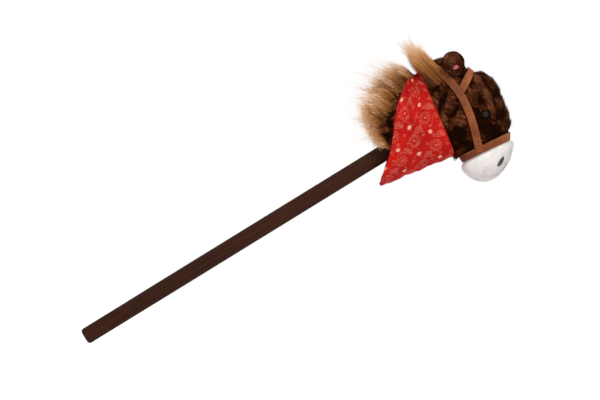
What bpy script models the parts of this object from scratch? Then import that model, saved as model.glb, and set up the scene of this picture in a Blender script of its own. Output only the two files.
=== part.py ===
"""Hobby horse: a sewn plush head on a round wooden stick, with a press sound unit in the right ear.

The frame stands on the stick's foot: +Z runs up the stick, +X is the way the horse faces and +Y
is the horse's left. All sizes are in metres. Heights in the head are measured from the neck's
lower edge, so the head rides up and down with the visible length of the stick.
"""

import math

import bmesh
import bpy
from mathutils import Matrix, Vector

# Stick
STICK_DIAMETER = 0.024
STICK_VISIBLE_LENGTH = 0.518
STICK_HIDDEN_LENGTH = 0.122
STICK_END_ROUNDING = 0.004

# Clearances
FIT_GAP = 0.0003
FILL_GAP = 0.0005
SEAM_GAP = 0.0004
WELD_DISTANCE = 0.00001

# Plush and filling
SKIN_THICKNESS = 0.003
FORM_EXPONENT = 2.35
FORM_SEGMENTS = 30
SEAM_LEAN = 0.10
SEAM_LEAN_HEIGHT = 0.118
MUZZLE_SEAM_X = 0.0705
SEAM_REACH = 0.006
CUTTER_REACH = 0.2
GUSSET_FRONT_FALL = 0.012

# Looks: colour, roughness and metallic
BROWN_PLUSH = ((0.047, 0.014, 0.008), 0.95)
WHITE_PLUSH = ((0.74, 0.70, 0.66), 0.9)
TAN_FELT = ((0.40, 0.15, 0.06), 0.85)
RED_COTTON = ((0.55, 0.012, 0.012), 0.8)
CARAMEL_HAIR = ((0.30, 0.12, 0.04), 0.9)
WHITE_FILLING = ((0.80, 0.80, 0.78), 0.95)
DARK_WOOD = ((0.032, 0.014, 0.010), 0.55)
DARK_FABRIC = ((0.10, 0.05, 0.035), 0.9)
PALE_PLASTIC = ((0.72, 0.72, 0.70), 0.45)
GLOSSY_BLACK = ((0.004, 0.004, 0.005), 0.08)
GREY_THREAD = ((0.015, 0.015, 0.016), 0.8)
BARE_METAL = ((0.60, 0.60, 0.60), 0.3, 1.0)
BRASS_METAL = ((0.75, 0.55, 0.25), 0.35, 1.0)
GREEN_BOARD = ((0.05, 0.22, 0.08), 0.5)
RED_PLASTIC = ((0.60, 0.02, 0.02), 0.4)
PINK_PATCH = ((0.55, 0.10, 0.18), 0.8)

# Head stations: distance along the head, top height, bottom height, half width
HEAD_STATIONS = (
    (-0.0768, 0.1230, 0.1090, 0.0090),
    (-0.0725, 0.1370, 0.0970, 0.0235),
    (-0.0620, 0.1470, 0.0900, 0.0365),
    (-0.0440, 0.1570, 0.0838, 0.0465),
    (-0.0365, 0.1605, 0.0825, 0.0485),
    (-0.0285, 0.1740, 0.0810, 0.0505),
    (-0.0120, 0.1815, 0.0790, 0.0520),
    (0.0250, 0.1755, 0.0785, 0.0503),
    (0.0540, 0.1700, 0.0802, 0.0450),
    (0.0640, 0.1600, 0.0815, 0.0415),
    (MUZZLE_SEAM_X, 0.1530, 0.0825, 0.0390),
)
HEAD_BACK_TIP = 0.0008
HEAD_CORE_X = -0.0300
HEAD_BACK_ZONE_X = -0.0580
PROBE_SPREAD = 0.003

# Muzzle stations: distance past the seam, top height, bottom height, half width
MUZZLE_STATIONS = (
    (0.0000, 0.1530, 0.0825, 0.0390),
    (0.0055, 0.1530, 0.0815, 0.0392),
    (0.0100, 0.1575, 0.0750, 0.0405),
    (0.0180, 0.1530, 0.0740, 0.0392),
    (0.0275, 0.1440, 0.0765, 0.0350),
    (0.0350, 0.1335, 0.0810, 0.0280),
    (0.0410, 0.1230, 0.0870, 0.0200),
    (0.0450, 0.1140, 0.0950, 0.0105),
)
MUZZLE_TIP = 0.0012

# Neck stations: height, back x, front x, half width
NECK_STATIONS = (
    (0.0000, -0.0510, 0.0330, 0.0340),
    (0.0040, -0.0560, 0.0380, 0.0380),
    (0.0170, -0.0620, 0.0430, 0.0410),
    (0.0420, -0.0680, 0.0480, 0.0440),
    (0.0670, -0.0710, 0.0530, 0.0450),
    (0.0850, -0.0715, 0.0560, 0.0440),
    (0.1010, -0.0600, 0.0440, 0.0370),
    (0.1150, -0.0450, 0.0300, 0.0280),
)

# Gusset seam on each side of the crown: distance along the head and height
GUSSET_SEAM = (
    (-0.048, 0.1420), (-0.034, 0.1500), (-0.020, 0.1605), (0.010, 0.1608), (0.040, 0.1512), (0.066, 0.1400),
)

# Stick pocket and tie
SLEEVE_WALL = 0.001
BASE_THICKNESS = 0.0022
TIE_HEIGHT = 0.0060
TIE_WIDTH = 0.0036
TIE_THICKNESS = 0.0013
TIE_HEAD = 0.0050

# Eyes
EYE_X = 0.029
EYE_STRAP_GAP = 0.0106
EYE_DIAMETER = 0.0105
EYE_BULGE = 0.0042
EYE_STEM_DIAMETER = 0.0032
EYE_STEM_LENGTH = 0.0085
WASHER_DIAMETER = 0.0120
WASHER_THICKNESS = 0.0012

# Nostrils
NOSTRIL_X = 0.0990
NOSTRIL_HEIGHT = 0.1260
NOSTRIL_LENGTH = 0.0160
NOSTRIL_WIDTH = 0.0066
NOSTRIL_THICKNESS = 0.0008
NOSTRIL_TILT = 118.0
NOSTRIL_POINT = 0.5
NOSTRIL_SIDES = 16
NOSTRIL_RINGS = (1.0, 0.5)

# Bridle
STRAP_WIDTH = 0.0110
STRAP_THICKNESS = 0.0018
STRAP_LIFT = 0.0006
NOSEBAND_BACK_X = 0.0650
NOSEBAND_FRONT_X = 0.0755
STRAP_JOINT_X = -0.0100
STRAP_JOINT_HEIGHT = 0.1265
STRAP_JOINT_RUN = 0.0040
CHEEK_LINE = ((0.0614, 0.1108), (0.045, 0.1160), (0.028, 0.1208), (0.010, 0.1245))
CROWN_LINE = ((-0.030, 0.1252), (-0.048, 0.1215), (-0.060, 0.1180), (-0.070, 0.1150))
BROW_LINE = ((-0.0175, 0.1298), (-0.0250, 0.1430), (-0.0300, 0.1510), (-0.0332, 0.1555))
BROW_TOP_X = -0.0400
CROWN_BACK_DROP = 0.002

# Bandana
BANDANA_THICKNESS = 0.0012
BANDANA_LIFT = 0.0008
BANDANA_TOP = 0.0840
BANDANA_TOP_SLOPE = 0.150
BANDANA_HEM = (
    (-0.0795, 0.0840), (-0.0715, 0.0765), (-0.0640, 0.0660), (-0.0530, 0.0485), (-0.0317, 0.0270),
    (-0.0100, 0.0100), (0.0135, -0.0100), (0.0320, -0.0255), (0.0550, -0.0390),
)
BANDANA_TAPER = 0.17
BANDANA_FOLDS = 3
BANDANA_FOLD_DEPTH = 0.0036
BANDANA_FOLD_LEAST = 0.35
BANDANA_FOLD_TURN = 1.15
BANDANA_AROUND = 50
BANDANA_DOWN = 8
BANDANA_CENTRE_X = -0.008
BANDANA_SMOOTHING = 10
BODY_SEARCH_START = 0.12
BODY_SEARCH_STEP = 0.001

# Ears
EAR_LENGTH = 0.040
EAR_WALL = 0.0012
EAR_TAIL = 0.010
EAR_SIDES = 16
EAR_EXPONENT = 2.5
EAR_STATIONS = (
    (-0.28, 0.0080, 0.0075),
    (0.00, 0.0095, 0.0082),
    (0.20, 0.0132, 0.0096),
    (0.40, 0.0152, 0.0099),
    (0.58, 0.0151, 0.0097),
    (0.75, 0.0135, 0.0086),
    (0.90, 0.0094, 0.0060),
    (0.97, 0.0053, 0.0036),
)
EAR_RIGHT_BASE = (-0.0435, 0.1410)
EAR_RIGHT_AXIS = (-0.700, -0.700, 0.010)
EAR_LEFT_BASE = (-0.0450, 0.1420)
EAR_LEFT_AXIS = (-0.600, 0.740, 0.080)

# Sound unit, turned about the button's axis
CASE_RADIUS = 0.0120
CASE_HALF_DEPTH = 0.00575
CASE_WALL = 0.0012
CASE_ALONG_EAR = 0.0190
CASE_EDGE = 0.0010
GRILLE_HOLES = 5
GRILLE_TURN = 0.3
GRILLE_RADIUS = 0.0045
GRILLE_HOLE_RADIUS = 0.0009
SMALL_EDGE = 0.0004
BOARD_RADIUS = 0.0104
BOARD_THICKNESS = 0.0008
BOARD_LEVEL = 0.0008
CONTACT_RADIUS = 0.0084
CELL_RADIUS = 0.00395
CELL_THICKNESS = 0.0036
SPEAKER_RADIUS = 0.0100
SPEAKER_THICKNESS = 0.0004
BUTTON_RADIUS = 0.0042
BUTTON_FLANGE = 0.0054
BUTTON_FLANGE_THICKNESS = 0.0009
BUTTON_TRAVEL = 0.0015
BUTTON_PROUD = 0.0007
SPRING_RADIUS = 0.0022
SPRING_WIRE = 0.0005
SPRING_TURNS = 4
MARK_RADIUS = 0.0042
MARK_THICKNESS = 0.0014
MARK_OPENING_GAP = 0.0006

# Mane: the first and the last lock of a row by root, middle and tip, each a distance ahead,
# a distance to the side and a height, then the line of the bed that the row grows from
MANE_UPPER_FIRST = ((-0.062, 0.0090, 0.140), (-0.080, 0.0168, 0.130), (-0.104, 0.0240, 0.112))
MANE_UPPER_LAST = ((-0.074, 0.0040, 0.111), (-0.092, 0.0080, 0.104), (-0.113, 0.0120, 0.088))
MANE_LOWER_FIRST = ((-0.073, 0.0030, 0.066), (-0.090, 0.0078, 0.058), (-0.107, 0.0114, 0.040))
MANE_LOWER_LAST = ((-0.056, 0.0080, 0.006), (-0.066, 0.0208, -0.008), (-0.064, 0.0304, -0.020))
MANE_TIPS_FIRST = ((-0.048, 0.0050, -0.006), (-0.050, 0.0120, -0.011), (-0.051, 0.0180, -0.020))
MANE_TIPS_LAST = ((-0.030, 0.0020, -0.010), (-0.027, 0.0070, -0.013), (-0.022, 0.0120, -0.019))
MANE_UPPER_BED = ((-0.058, 0.0, 0.148), (-0.070, 0.0, 0.136), (-0.078, 0.0, 0.120), (-0.079, 0.0, 0.103))
MANE_LOWER_BED = (
    (-0.026, 0.0005, -0.010), (-0.050, 0.0005, -0.006), (-0.066, 0.0005, 0.020),
    (-0.075, 0.0005, 0.053), (-0.0755, 0.0005, 0.077),
)
MANE_UPPER_BED_RADIUS = 0.017
MANE_LOWER_BED_RADIUS = 0.020
MANE_LOCK_RADIUS = 0.0095
MANE_TIP_RADIUS = 0.0055
MANE_SWELL = 0.006
MANE_UPPER_LOCKS = 7
MANE_LOWER_LOCKS = 7
MANE_TIP_LOCKS = 3
LOCK_POINT = 0.0006
LOCK_FLATNESS = 0.75
LOCK_TAPER = 1.6
SPINDLE_FULLNESS = 0.6
LOCK_SIDES = 6
LOCK_RINGS = 6
LOCK_TWIST = 0.41


def row_slope(rows, column, index):
    """Return the slope of one column of a station table at a row, from the rows beside it."""
    low, high = rows[max(index - 1, 0)], rows[min(index + 1, len(rows) - 1)]
    return (high[column] - low[column]) / (high[0] - low[0])


def smooth_column(rows, column, at):
    """Read one column of a station table at a distance, on a smooth curve through its rows."""
    at = min(max(at, rows[0][0]), rows[-1][0])
    index = max(i for i in range(len(rows) - 1) if rows[i][0] <= at)
    near, far = rows[index], rows[index + 1]
    span = far[0] - near[0]
    t = (at - near[0]) / span
    a = near[column] * (1 + 2 * t) * (1 - t) ** 2
    b = row_slope(rows, column, index) * span * t * (1 - t) ** 2
    c = far[column] * t * t * (3 - 2 * t)
    d = row_slope(rows, column, index + 1) * span * t * t * (t - 1)
    return a + b + c + d


def smooth_path(points, count):
    """Resample a hand-set line of points to a count of even steps on a smooth curve."""
    rows = []
    travelled = 0.0
    for i, point in enumerate(points):
        if i:
            travelled += (point - points[i - 1]).length
        rows.append((travelled, *point))
    return [
        Vector([smooth_column(rows, axis, travelled * i / (count - 1)) for axis in (1, 2, 3)])
        for i in range(count)
    ]


class StuffedForm:
    """A stuffed form whose sections are rounded ovals at stations along a line."""

    def __init__(self, stations, to_world, to_local, exponent=FORM_EXPONENT):
        self.stations = stations
        self.to_world = to_world
        self.to_local = to_local
        self.exponent = exponent
        self.start = stations[0][0]
        self.end = stations[-1][0]

    def section(self, along):
        """Return the middle, the half height and the half width of the section."""
        high = smooth_column(self.stations, 1, along)
        low = smooth_column(self.stations, 2, along)
        return (high + low) / 2, (high - low) / 2, smooth_column(self.stations, 3, along)

    def on_section(self, along, angle, inset=0.0):
        """Return a world point on the section at an angle from the +Y side towards the high side."""
        middle, half_height, half_width = self.section(along)
        power = 2 / self.exponent
        across = math.copysign(abs(math.cos(angle)) ** power, math.cos(angle))
        up = math.copysign(abs(math.sin(angle)) ** power, math.sin(angle))
        return self.to_world(along, (half_width - inset) * across, middle + (half_height - inset) * up)

    def ring(self, along, inset=0.0, place=None):
        """Return one closed ring of points, moved along the line to another place if one is given."""
        place = along if place is None else place
        middle, half_height, half_width = self.section(along)
        power = 2 / self.exponent
        points = []
        for step in range(FORM_SEGMENTS):
            angle = 2 * math.pi * step / FORM_SEGMENTS
            across = math.copysign(abs(math.cos(angle)) ** power, math.cos(angle))
            up = math.copysign(abs(math.sin(angle)) ** power, math.sin(angle))
            points.append(
                self.to_world(place, (half_width - inset) * across, middle + (half_height - inset) * up)
            )
        return points

    def level(self, point):
        """Return how far a point is outside the form: negative inside, 0 on the surface."""
        along, across, up = self.to_local(point)
        middle, half_height, half_width = self.section(along)
        power = self.exponent
        return abs(across / half_width) ** power + abs((up - middle) / half_height) ** power - 1

    def slope(self, point):
        """Return the gradient of the level at a point."""
        step = WELD_DISTANCE
        parts = []
        for axis in range(3):
            shift = Vector([step if i == axis else 0.0 for i in range(3)])
            parts.append((self.level(point + shift) - self.level(point - shift)) / (2 * step))
        return Vector(parts)

    def normal(self, point):
        """Return the outward direction of the surface nearest to a point."""
        return self.slope(point).normalized()

    def from_core(self, point):
        """Drop a point onto the rounded back end along the line from the form's core."""
        along = self.to_local(point)[0]
        core = self.to_world(HEAD_CORE_X, 0.0, self.section(HEAD_CORE_X)[0])
        if along >= HEAD_CORE_X:
            core = self.to_world(along, 0.0, self.section(along)[0])
        way = (point - core).normalized()
        low, high = 0.0, BODY_SEARCH_START
        for _ in range(24):
            middle = (low + high) / 2
            probe = core + way * middle
            inside = self.to_local(probe)[0] >= self.start - HEAD_BACK_TIP and self.level(probe) <= 0
            low, high = (middle, high) if inside else (low, middle)
        return core + way * low

    def settle_back(self, point, lift):
        """Drop a point onto the rounded back end and lift it off again by a distance."""
        seat = self.from_core(point)
        sides = [self.from_core(seat + Vector((0, PROBE_SPREAD * turn, 0))) for turn in (-1, 1)]
        ends = [self.from_core(seat + Vector((0, 0, PROBE_SPREAD * turn))) for turn in (-1, 1)]
        normal = (sides[1] - sides[0]).cross(ends[1] - ends[0]).normalized()
        if normal.x > 0:
            normal.negate()
        return seat + normal * lift, normal

    def settle(self, point, lift=0.0):
        """Drop a point onto the surface and lift it off again by a distance."""
        point = Vector(point)
        if self is HEAD and self.to_local(point)[0] < HEAD_BACK_ZONE_X:
            return self.settle_back(point, lift)[0]
        for _ in range(6):
            slope = self.slope(point)
            point = point - slope * (self.level(point) / slope.length_squared)
        return point + self.normal(point) * lift

    def side_point(self, along, up, side):
        """Return the point on one side of the surface at a distance along and a height."""
        middle, half_height, half_width = self.section(along)
        share = 1 - abs((up - middle) / half_height) ** self.exponent
        return self.to_world(along, side * half_width * share ** (1 / self.exponent), up)


def head_world(along, across, up):
    """Turn head coordinates, with the seam's lean, into a world point."""
    return Vector((along + SEAM_LEAN * (up - SEAM_LEAN_HEIGHT), across, STICK_VISIBLE_LENGTH + up))


def head_local(point):
    """Turn a world point into head coordinates."""
    up = point.z - STICK_VISIBLE_LENGTH
    return point.x - SEAM_LEAN * (up - SEAM_LEAN_HEIGHT), point.y, up


def muzzle_world(along, across, up):
    """Turn muzzle coordinates into a world point."""
    return head_world(along + MUZZLE_SEAM_X, across, up)


def muzzle_local(point):
    """Turn a world point into muzzle coordinates."""
    along, across, up = head_local(point)
    return along - MUZZLE_SEAM_X, across, up


def neck_world(along, across, up):
    """Turn neck coordinates, which run up the stick with the front as the high side, into world."""
    return Vector((up, across, STICK_VISIBLE_LENGTH + along))


def neck_local(point):
    """Turn a world point into neck coordinates."""
    return point.z - STICK_VISIBLE_LENGTH, point.y, point.x


NECK_ROWS = tuple((height, front, back, half) for height, back, front, half in NECK_STATIONS)
HEAD = StuffedForm(HEAD_STATIONS, head_world, head_local)
MUZZLE = StuffedForm(MUZZLE_STATIONS, muzzle_world, muzzle_local)
NECK = StuffedForm(NECK_ROWS, neck_world, neck_local)


def clear_scene():
    """Remove what the start-up file holds."""
    for thing in list(bpy.data.objects):
        bpy.data.objects.remove(thing, do_unlink=True)


def material(name, colour, roughness, metallic=0.0):
    """Make a plain Principled material."""
    made = bpy.data.materials.new(name)
    made.use_nodes = True
    shader = made.node_tree.nodes["Principled BSDF"]
    shader.inputs["Base Color"].default_value = (*colour, 1.0)
    shader.inputs["Roughness"].default_value = roughness
    shader.inputs["Metallic"].default_value = metallic
    made.diffuse_color = (*colour, 1.0)
    return made


def add_object(name, mesh_data, look=None):
    """Put a bmesh in the scene as a named object, smooth with sharp corners kept."""
    bmesh.ops.recalc_face_normals(mesh_data, faces=mesh_data.faces)
    mesh = bpy.data.meshes.new(name)
    mesh_data.to_mesh(mesh)
    mesh_data.free()
    mesh.shade_smooth()
    mesh.set_sharp_from_angle(angle=math.radians(40))
    thing = bpy.data.objects.new(name, mesh)
    bpy.context.scene.collection.objects.link(thing)
    if look is not None:
        mesh.materials.append(material(name, *look))
    return thing


def add_cutter(name, mesh_data):
    """Put a bmesh in the scene as a construction shape that is not part of the toy."""
    thing = add_object(name, mesh_data)
    thing.hide_render = True
    thing.display_type = "WIRE"
    return thing


def combine(thing, other, operation):
    """Add an exact Boolean modifier."""
    modifier = thing.modifiers.new(operation.title(), "BOOLEAN")
    modifier.operation = operation
    modifier.solver = "EXACT"
    modifier.object = other


def weld(thing):
    """Join the points that the cuts left closer together than any real detail."""
    modifier = thing.modifiers.new("Weld", "WELD")
    modifier.merge_threshold = WELD_DISTANCE


def skin_rings(mesh_data, rings, closed=False, start_tip=None, end_tip=None):
    """Bridge rings of points into a closed solid, capped flat or drawn to a tip at each end."""
    loops = [[mesh_data.verts.new(point) for point in ring] for ring in rings]
    pairs = list(zip(loops, loops[1:]))
    if closed:
        pairs.append((loops[-1], loops[0]))
    for first, second in pairs:
        count = len(first)
        for i in range(count):
            j = (i + 1) % count
            mesh_data.faces.new((first[i], first[j], second[j], second[i]))
    if closed:
        return mesh_data
    for loop, tip in ((loops[0], start_tip), (loops[-1], end_tip)):
        if tip is None:
            mesh_data.faces.new(loop)
            continue
        point = mesh_data.verts.new(tip)
        for i in range(len(loop)):
            mesh_data.faces.new((loop[i], loop[(i + 1) % len(loop)], point))
    return mesh_data


def ring_solid(rings, **ends):
    """Return a new bmesh of one skinned solid."""
    return skin_rings(bmesh.new(), rings, **ends)


def turned(profile, segments=28):
    """Spin a closed outline of radius and height points about Z into a solid."""
    mesh_data = bmesh.new()
    points = [mesh_data.verts.new((radius, 0.0, height)) for radius, height in profile]
    edges = [
        mesh_data.edges.new((points[i], points[(i + 1) % len(points)]))
        for i in range(len(points))
        if profile[i][0] > 0 or profile[(i + 1) % len(points)][0] > 0
    ]
    bmesh.ops.spin(
        mesh_data, geom=points + edges, cent=(0, 0, 0), axis=(0, 0, 1), angle=2 * math.pi, steps=segments
    )
    bmesh.ops.remove_doubles(mesh_data, verts=mesh_data.verts, dist=1e-6)
    bmesh.ops.dissolve_degenerate(mesh_data, edges=mesh_data.edges, dist=1e-7)
    return mesh_data


def disc_profile(radius, low, high, edge=0.0):
    """Return the half outline of a disc, with its edges chamfered if an edge size is given."""
    if not edge:
        return [(0, low), (radius, low), (radius, high), (0, high)]
    return [
        (0, low), (radius - edge, low), (radius, low + edge),
        (radius, high - edge), (radius - edge, high), (0, high),
    ]


def station_places(form, per_gap):
    """Return the stations of a form with even steps between them."""
    rows = [row[0] for row in form.stations]
    places = []
    for low, high in zip(rows, rows[1:]):
        places += [low + (high - low) * i / per_gap for i in range(per_gap)]
    return places + [rows[-1]]


def head_solid(inset, reach=0.0, per_gap=2):
    """Return the head's form, drawn in by an inset and reaching past the muzzle seam."""
    back = HEAD.start
    rings = []
    for along in station_places(HEAD, per_gap):
        drawn = inset * min(max((along - HEAD_STATIONS[3][0]) / (back - HEAD_STATIONS[3][0]), 0.0), 1.0)
        rings.append(HEAD.ring(along, inset, along + drawn))
    if reach:
        rings.append(HEAD.ring(HEAD.end, inset, HEAD.end + reach))
    middle = HEAD.section(back)[0]
    return ring_solid(rings, start_tip=head_world(back - HEAD_BACK_TIP + inset, 0.0, middle))


def muzzle_solid(inset, reach=0.0, lead=0.0, per_gap=2):
    """Return the muzzle's form, drawn in by an inset, from behind the seam or a lead past it."""
    rings = []
    if reach:
        rings.append(MUZZLE.ring(0.0, inset, -reach))
    wide = MUZZLE_STATIONS[3][0]
    for along in station_places(MUZZLE, per_gap):
        drawn = inset * min(max((along - wide) / (MUZZLE.end - wide), 0.0), 1.0)
        if along == 0.0 or along > lead:
            rings.append(MUZZLE.ring(along, inset, max(along, lead) - drawn))
    middle = MUZZLE.section(MUZZLE.end)[0]
    return ring_solid(rings, end_tip=muzzle_world(MUZZLE.end + MUZZLE_TIP - inset, 0.0, middle))


def neck_solid(inset, bottom=0.0, drop=0.0):
    """Return the neck's form, drawn in by an inset, from a bottom height, dropped below it."""
    rings = []
    if drop:
        rings.append(NECK.ring(bottom, inset, bottom - drop))
    places = [place for place in station_places(NECK, 1) if place > bottom + 1e-6]
    for along in [bottom] + places:
        rings.append(NECK.ring(along, inset, along if along < NECK.end else along - inset))
    return ring_solid(rings)


def gusset_prism(name, offset):
    """Return a tall prism above the two gusset seams, moved off them by an offset."""
    reach = CUTTER_REACH
    seam = smooth_path([Vector((x, 0.0, up)) for x, up in GUSSET_SEAM], 13)
    points = [head_world(point.x, 0.0, point.z + offset) for point in seam]
    points[0].x += offset
    ceiling = STICK_VISIBLE_LENGTH + 2 * reach
    front = Vector((points[-1].x + reach, 0.0, points[-1].z - GUSSET_FRONT_FALL))
    outline = points + [front, Vector((front.x, 0.0, ceiling)), Vector((points[0].x, 0.0, ceiling))]
    mesh_data = bmesh.new()
    face = mesh_data.faces.new([mesh_data.verts.new((p.x, -reach, p.z)) for p in outline])
    made = bmesh.ops.extrude_face_region(mesh_data, geom=[face])
    moved = [item for item in made["geom"] if isinstance(item, bmesh.types.BMVert)]
    bmesh.ops.translate(mesh_data, verts=moved, vec=(0, 2 * reach, 0))
    bmesh.ops.triangulate(mesh_data, faces=mesh_data.faces)
    return add_cutter(name, mesh_data)


def half_space(name, side):
    """Return a box on one side of the middle plane, off it by half a seam gap."""
    reach = CUTTER_REACH
    mesh_data = bmesh.new()
    bmesh.ops.create_cube(mesh_data, size=1.0)
    bmesh.ops.scale(mesh_data, vec=(2 * reach, reach, 4 * reach), verts=mesh_data.verts)
    centre = Vector((0, side * (reach + SEAM_GAP) / 2, STICK_VISIBLE_LENGTH))
    bmesh.ops.translate(mesh_data, vec=centre, verts=mesh_data.verts)
    return add_cutter(name, mesh_data)


def build_plush():
    """Build the sewn panels of the head and neck, and the muzzle."""
    neck_outer = add_cutter("neck_outer_form", neck_solid(0.0))
    head_inner = add_cutter("head_inner_form", head_solid(SKIN_THICKNESS, reach=SEAM_REACH, per_gap=1))
    neck_inner = add_cutter("neck_inner_form", neck_solid(SKIN_THICKNESS, drop=SEAM_REACH))
    gusset = add_object("crown_gusset", head_solid(0.0), BROWN_PLUSH)
    combine(gusset, gusset_prism("gusset_keep", SEAM_GAP / 2), "INTERSECT")
    combine(gusset, head_inner, "DIFFERENCE")
    weld(gusset)
    gusset_clear = gusset_prism("gusset_clear", -SEAM_GAP / 2)
    for side, word in ((-1, "right"), (1, "left")):
        panel = add_object(f"head_panel_{word}", head_solid(0.0), BROWN_PLUSH)
        combine(panel, neck_outer, "UNION")
        combine(panel, neck_inner, "DIFFERENCE")
        combine(panel, head_inner, "DIFFERENCE")
        combine(panel, gusset_clear, "DIFFERENCE")
        combine(panel, half_space(f"{word}_half", side), "INTERSECT")

    muzzle = add_object("muzzle_skin", muzzle_solid(0.0, lead=SEAM_GAP), WHITE_PLUSH)
    muzzle_inner = muzzle_solid(SKIN_THICKNESS, reach=SEAM_REACH, per_gap=1)
    combine(muzzle, add_cutter("muzzle_inner_form", muzzle_inner), "DIFFERENCE")
    weld(muzzle)


def sleeve_radius():
    """Return the outer radius of the fabric pocket round the stick."""
    return STICK_DIAMETER / 2 + FIT_GAP + SLEEVE_WALL


def build_stick():
    """Build the stick, its pocket in the filling, the tie and the neck's base."""
    radius = STICK_DIAMETER / 2
    top = STICK_VISIBLE_LENGTH + STICK_HIDDEN_LENGTH
    profile = [(0.0, 0.0)]
    for step in range(5):
        angle = math.radians(90 * step / 4)
        profile.append((
            radius - STICK_END_ROUNDING * (1 - math.sin(angle)), STICK_END_ROUNDING * (1 - math.cos(angle)),
        ))
    profile += [(radius, top - STICK_END_ROUNDING / 2), (radius - STICK_END_ROUNDING / 2, top), (0.0, top)]
    add_object("stick", turned(profile, 32), DARK_WOOD)

    outer = sleeve_radius()
    inner = radius + FIT_GAP
    base = STICK_VISIBLE_LENGTH
    pocket_top = top + FIT_GAP
    sleeve = turned([
        (inner, base), (outer, base), (outer, pocket_top), (outer - SLEEVE_WALL, pocket_top + SLEEVE_WALL),
        (0.0, pocket_top + SLEEVE_WALL), (0.0, pocket_top), (inner, pocket_top),
    ])
    add_object("stick_sleeve", sleeve, DARK_FABRIC)

    tie_inner = outer + FIT_GAP
    tie_outer = tie_inner + TIE_THICKNESS
    tie_low = base + TIE_HEIGHT
    tie_high = tie_low + TIE_WIDTH
    band = turned([(tie_inner, tie_low), (tie_outer, tie_low), (tie_outer, tie_high), (tie_inner, tie_high)])
    tie = add_object("neck_tie", band, PALE_PLASTIC)
    head = bmesh.new()
    bmesh.ops.create_cube(head, size=1.0)
    bmesh.ops.scale(head, vec=(TIE_HEAD, TIE_HEAD, TIE_HEAD), verts=head.verts)
    lock_x = -(tie_inner + TIE_HEAD / 2 + TIE_THICKNESS / 2)
    bmesh.ops.translate(head, vec=(lock_x, 0, (tie_low + tie_high) / 2), verts=head.verts)
    combine(tie, add_cutter("tie_lock", head), "UNION")

    ring = [NECK.ring(0.0, SKIN_THICKNESS + FIT_GAP, place) for place in (0.0, BASE_THICKNESS)]
    panel = add_object("neck_base", ring_solid(ring), BROWN_PLUSH)
    hole = turned(disc_profile(outer + FIT_GAP, base - SEAM_REACH, base + SEAM_REACH), 32)
    combine(panel, add_cutter("base_hole", hole), "DIFFERENCE")


def eye_frame(side):
    """Return the eye's axes, above the cheek strap: local Z points out of the skin's surface."""
    strap_height = smooth_column(sorted(CHEEK_LINE), 1, EYE_X)
    height = strap_height + STRAP_WIDTH / 2 + EYE_STRAP_GAP + EYE_DIAMETER / 2
    along = head_local(Vector((EYE_X, 0, STICK_VISIBLE_LENGTH + height)))[0]
    point = HEAD.side_point(along, height, side)
    return Matrix.Translation(point) @ HEAD.normal(point).to_track_quat("Z", "Y").to_matrix().to_4x4()


def build_filling():
    """Build the head's filling, with room for the pocket, the tie and the eye washers."""
    inset = SKIN_THICKNESS + FILL_GAP
    filling = add_object("head_stuffing", head_solid(inset, per_gap=1), WHITE_FILLING)
    bottom = BASE_THICKNESS + FIT_GAP
    combine(filling, add_cutter("neck_filling_form", neck_solid(inset, bottom=bottom)), "UNION")
    nose = muzzle_solid(inset, reach=2 * SEAM_REACH, per_gap=1)
    combine(filling, add_cutter("muzzle_filling_form", nose), "UNION")
    base = STICK_VISIBLE_LENGTH
    top = base + STICK_HIDDEN_LENGTH + FIT_GAP + SLEEVE_WALL + FIT_GAP
    bore = turned(disc_profile(sleeve_radius() + FIT_GAP, base - SEAM_REACH, top), 32)
    combine(filling, add_cutter("pocket_bore", bore), "DIFFERENCE")
    relief_radius = sleeve_radius() + TIE_THICKNESS + TIE_HEAD + 3 * FIT_GAP
    relief_top = base + TIE_HEIGHT + (TIE_WIDTH + TIE_HEAD) / 2 + FIT_GAP
    relief = turned(disc_profile(relief_radius, base - SEAM_REACH, relief_top), 32)
    combine(filling, add_cutter("tie_room", relief), "DIFFERENCE")
    for side, word in ((-1, "right"), (1, "left")):
        depth = EYE_STEM_LENGTH + 4 * FIT_GAP
        room = turned(disc_profile(WASHER_DIAMETER / 2 + FIT_GAP, -depth, 0.0), 24)
        cutter = add_cutter(f"washer_room_{word}", room)
        cutter.matrix_world = eye_frame(side)
        combine(filling, cutter, "DIFFERENCE")
    weld(filling)


def build_eyes():
    """Build the two toy eyes with their stems and locking washers, and the stem holes."""
    radius = EYE_DIAMETER / 2
    bulge_radius = (radius ** 2 + EYE_BULGE ** 2) / (2 * EYE_BULGE)
    reach = math.asin(min(radius / bulge_radius, 1.0))
    dome = [
        (bulge_radius * math.sin(reach * (1 - step / 6)),
         FIT_GAP + EYE_BULGE - bulge_radius * (1 - math.cos(reach * (1 - step / 6))))
        for step in range(7)
    ]
    stem = EYE_STEM_DIAMETER / 2
    profile = [(0.0, -EYE_STEM_LENGTH), (stem, -EYE_STEM_LENGTH), (stem, FIT_GAP)] + dome[:-1]
    profile.append((0.0, FIT_GAP + EYE_BULGE))
    washer_top = -(SKIN_THICKNESS + 4 * FIT_GAP)
    washer_low = washer_top - WASHER_THICKNESS
    hole = stem + FIT_GAP
    rim = WASHER_DIAMETER / 2
    washer = [(hole, washer_low), (rim, washer_low), (rim, washer_top), (hole, washer_top)]
    for side, word in ((-1, "right"), (1, "left")):
        frame = eye_frame(side)
        add_object(f"eye_{word}", turned(profile, 20), GLOSSY_BLACK).matrix_world = frame
        add_object(f"eye_washer_{word}", turned(washer, 18), PALE_PLASTIC).matrix_world = frame
        bore = turned(disc_profile(hole, -EYE_STEM_LENGTH, EYE_STEM_LENGTH), 16)
        cutter = add_cutter(f"eye_hole_{word}", bore)
        cutter.matrix_world = frame
        panel = bpy.data.objects[f"head_panel_{word}"]
        combine(panel, cutter, "DIFFERENCE")
        weld(panel)


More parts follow.
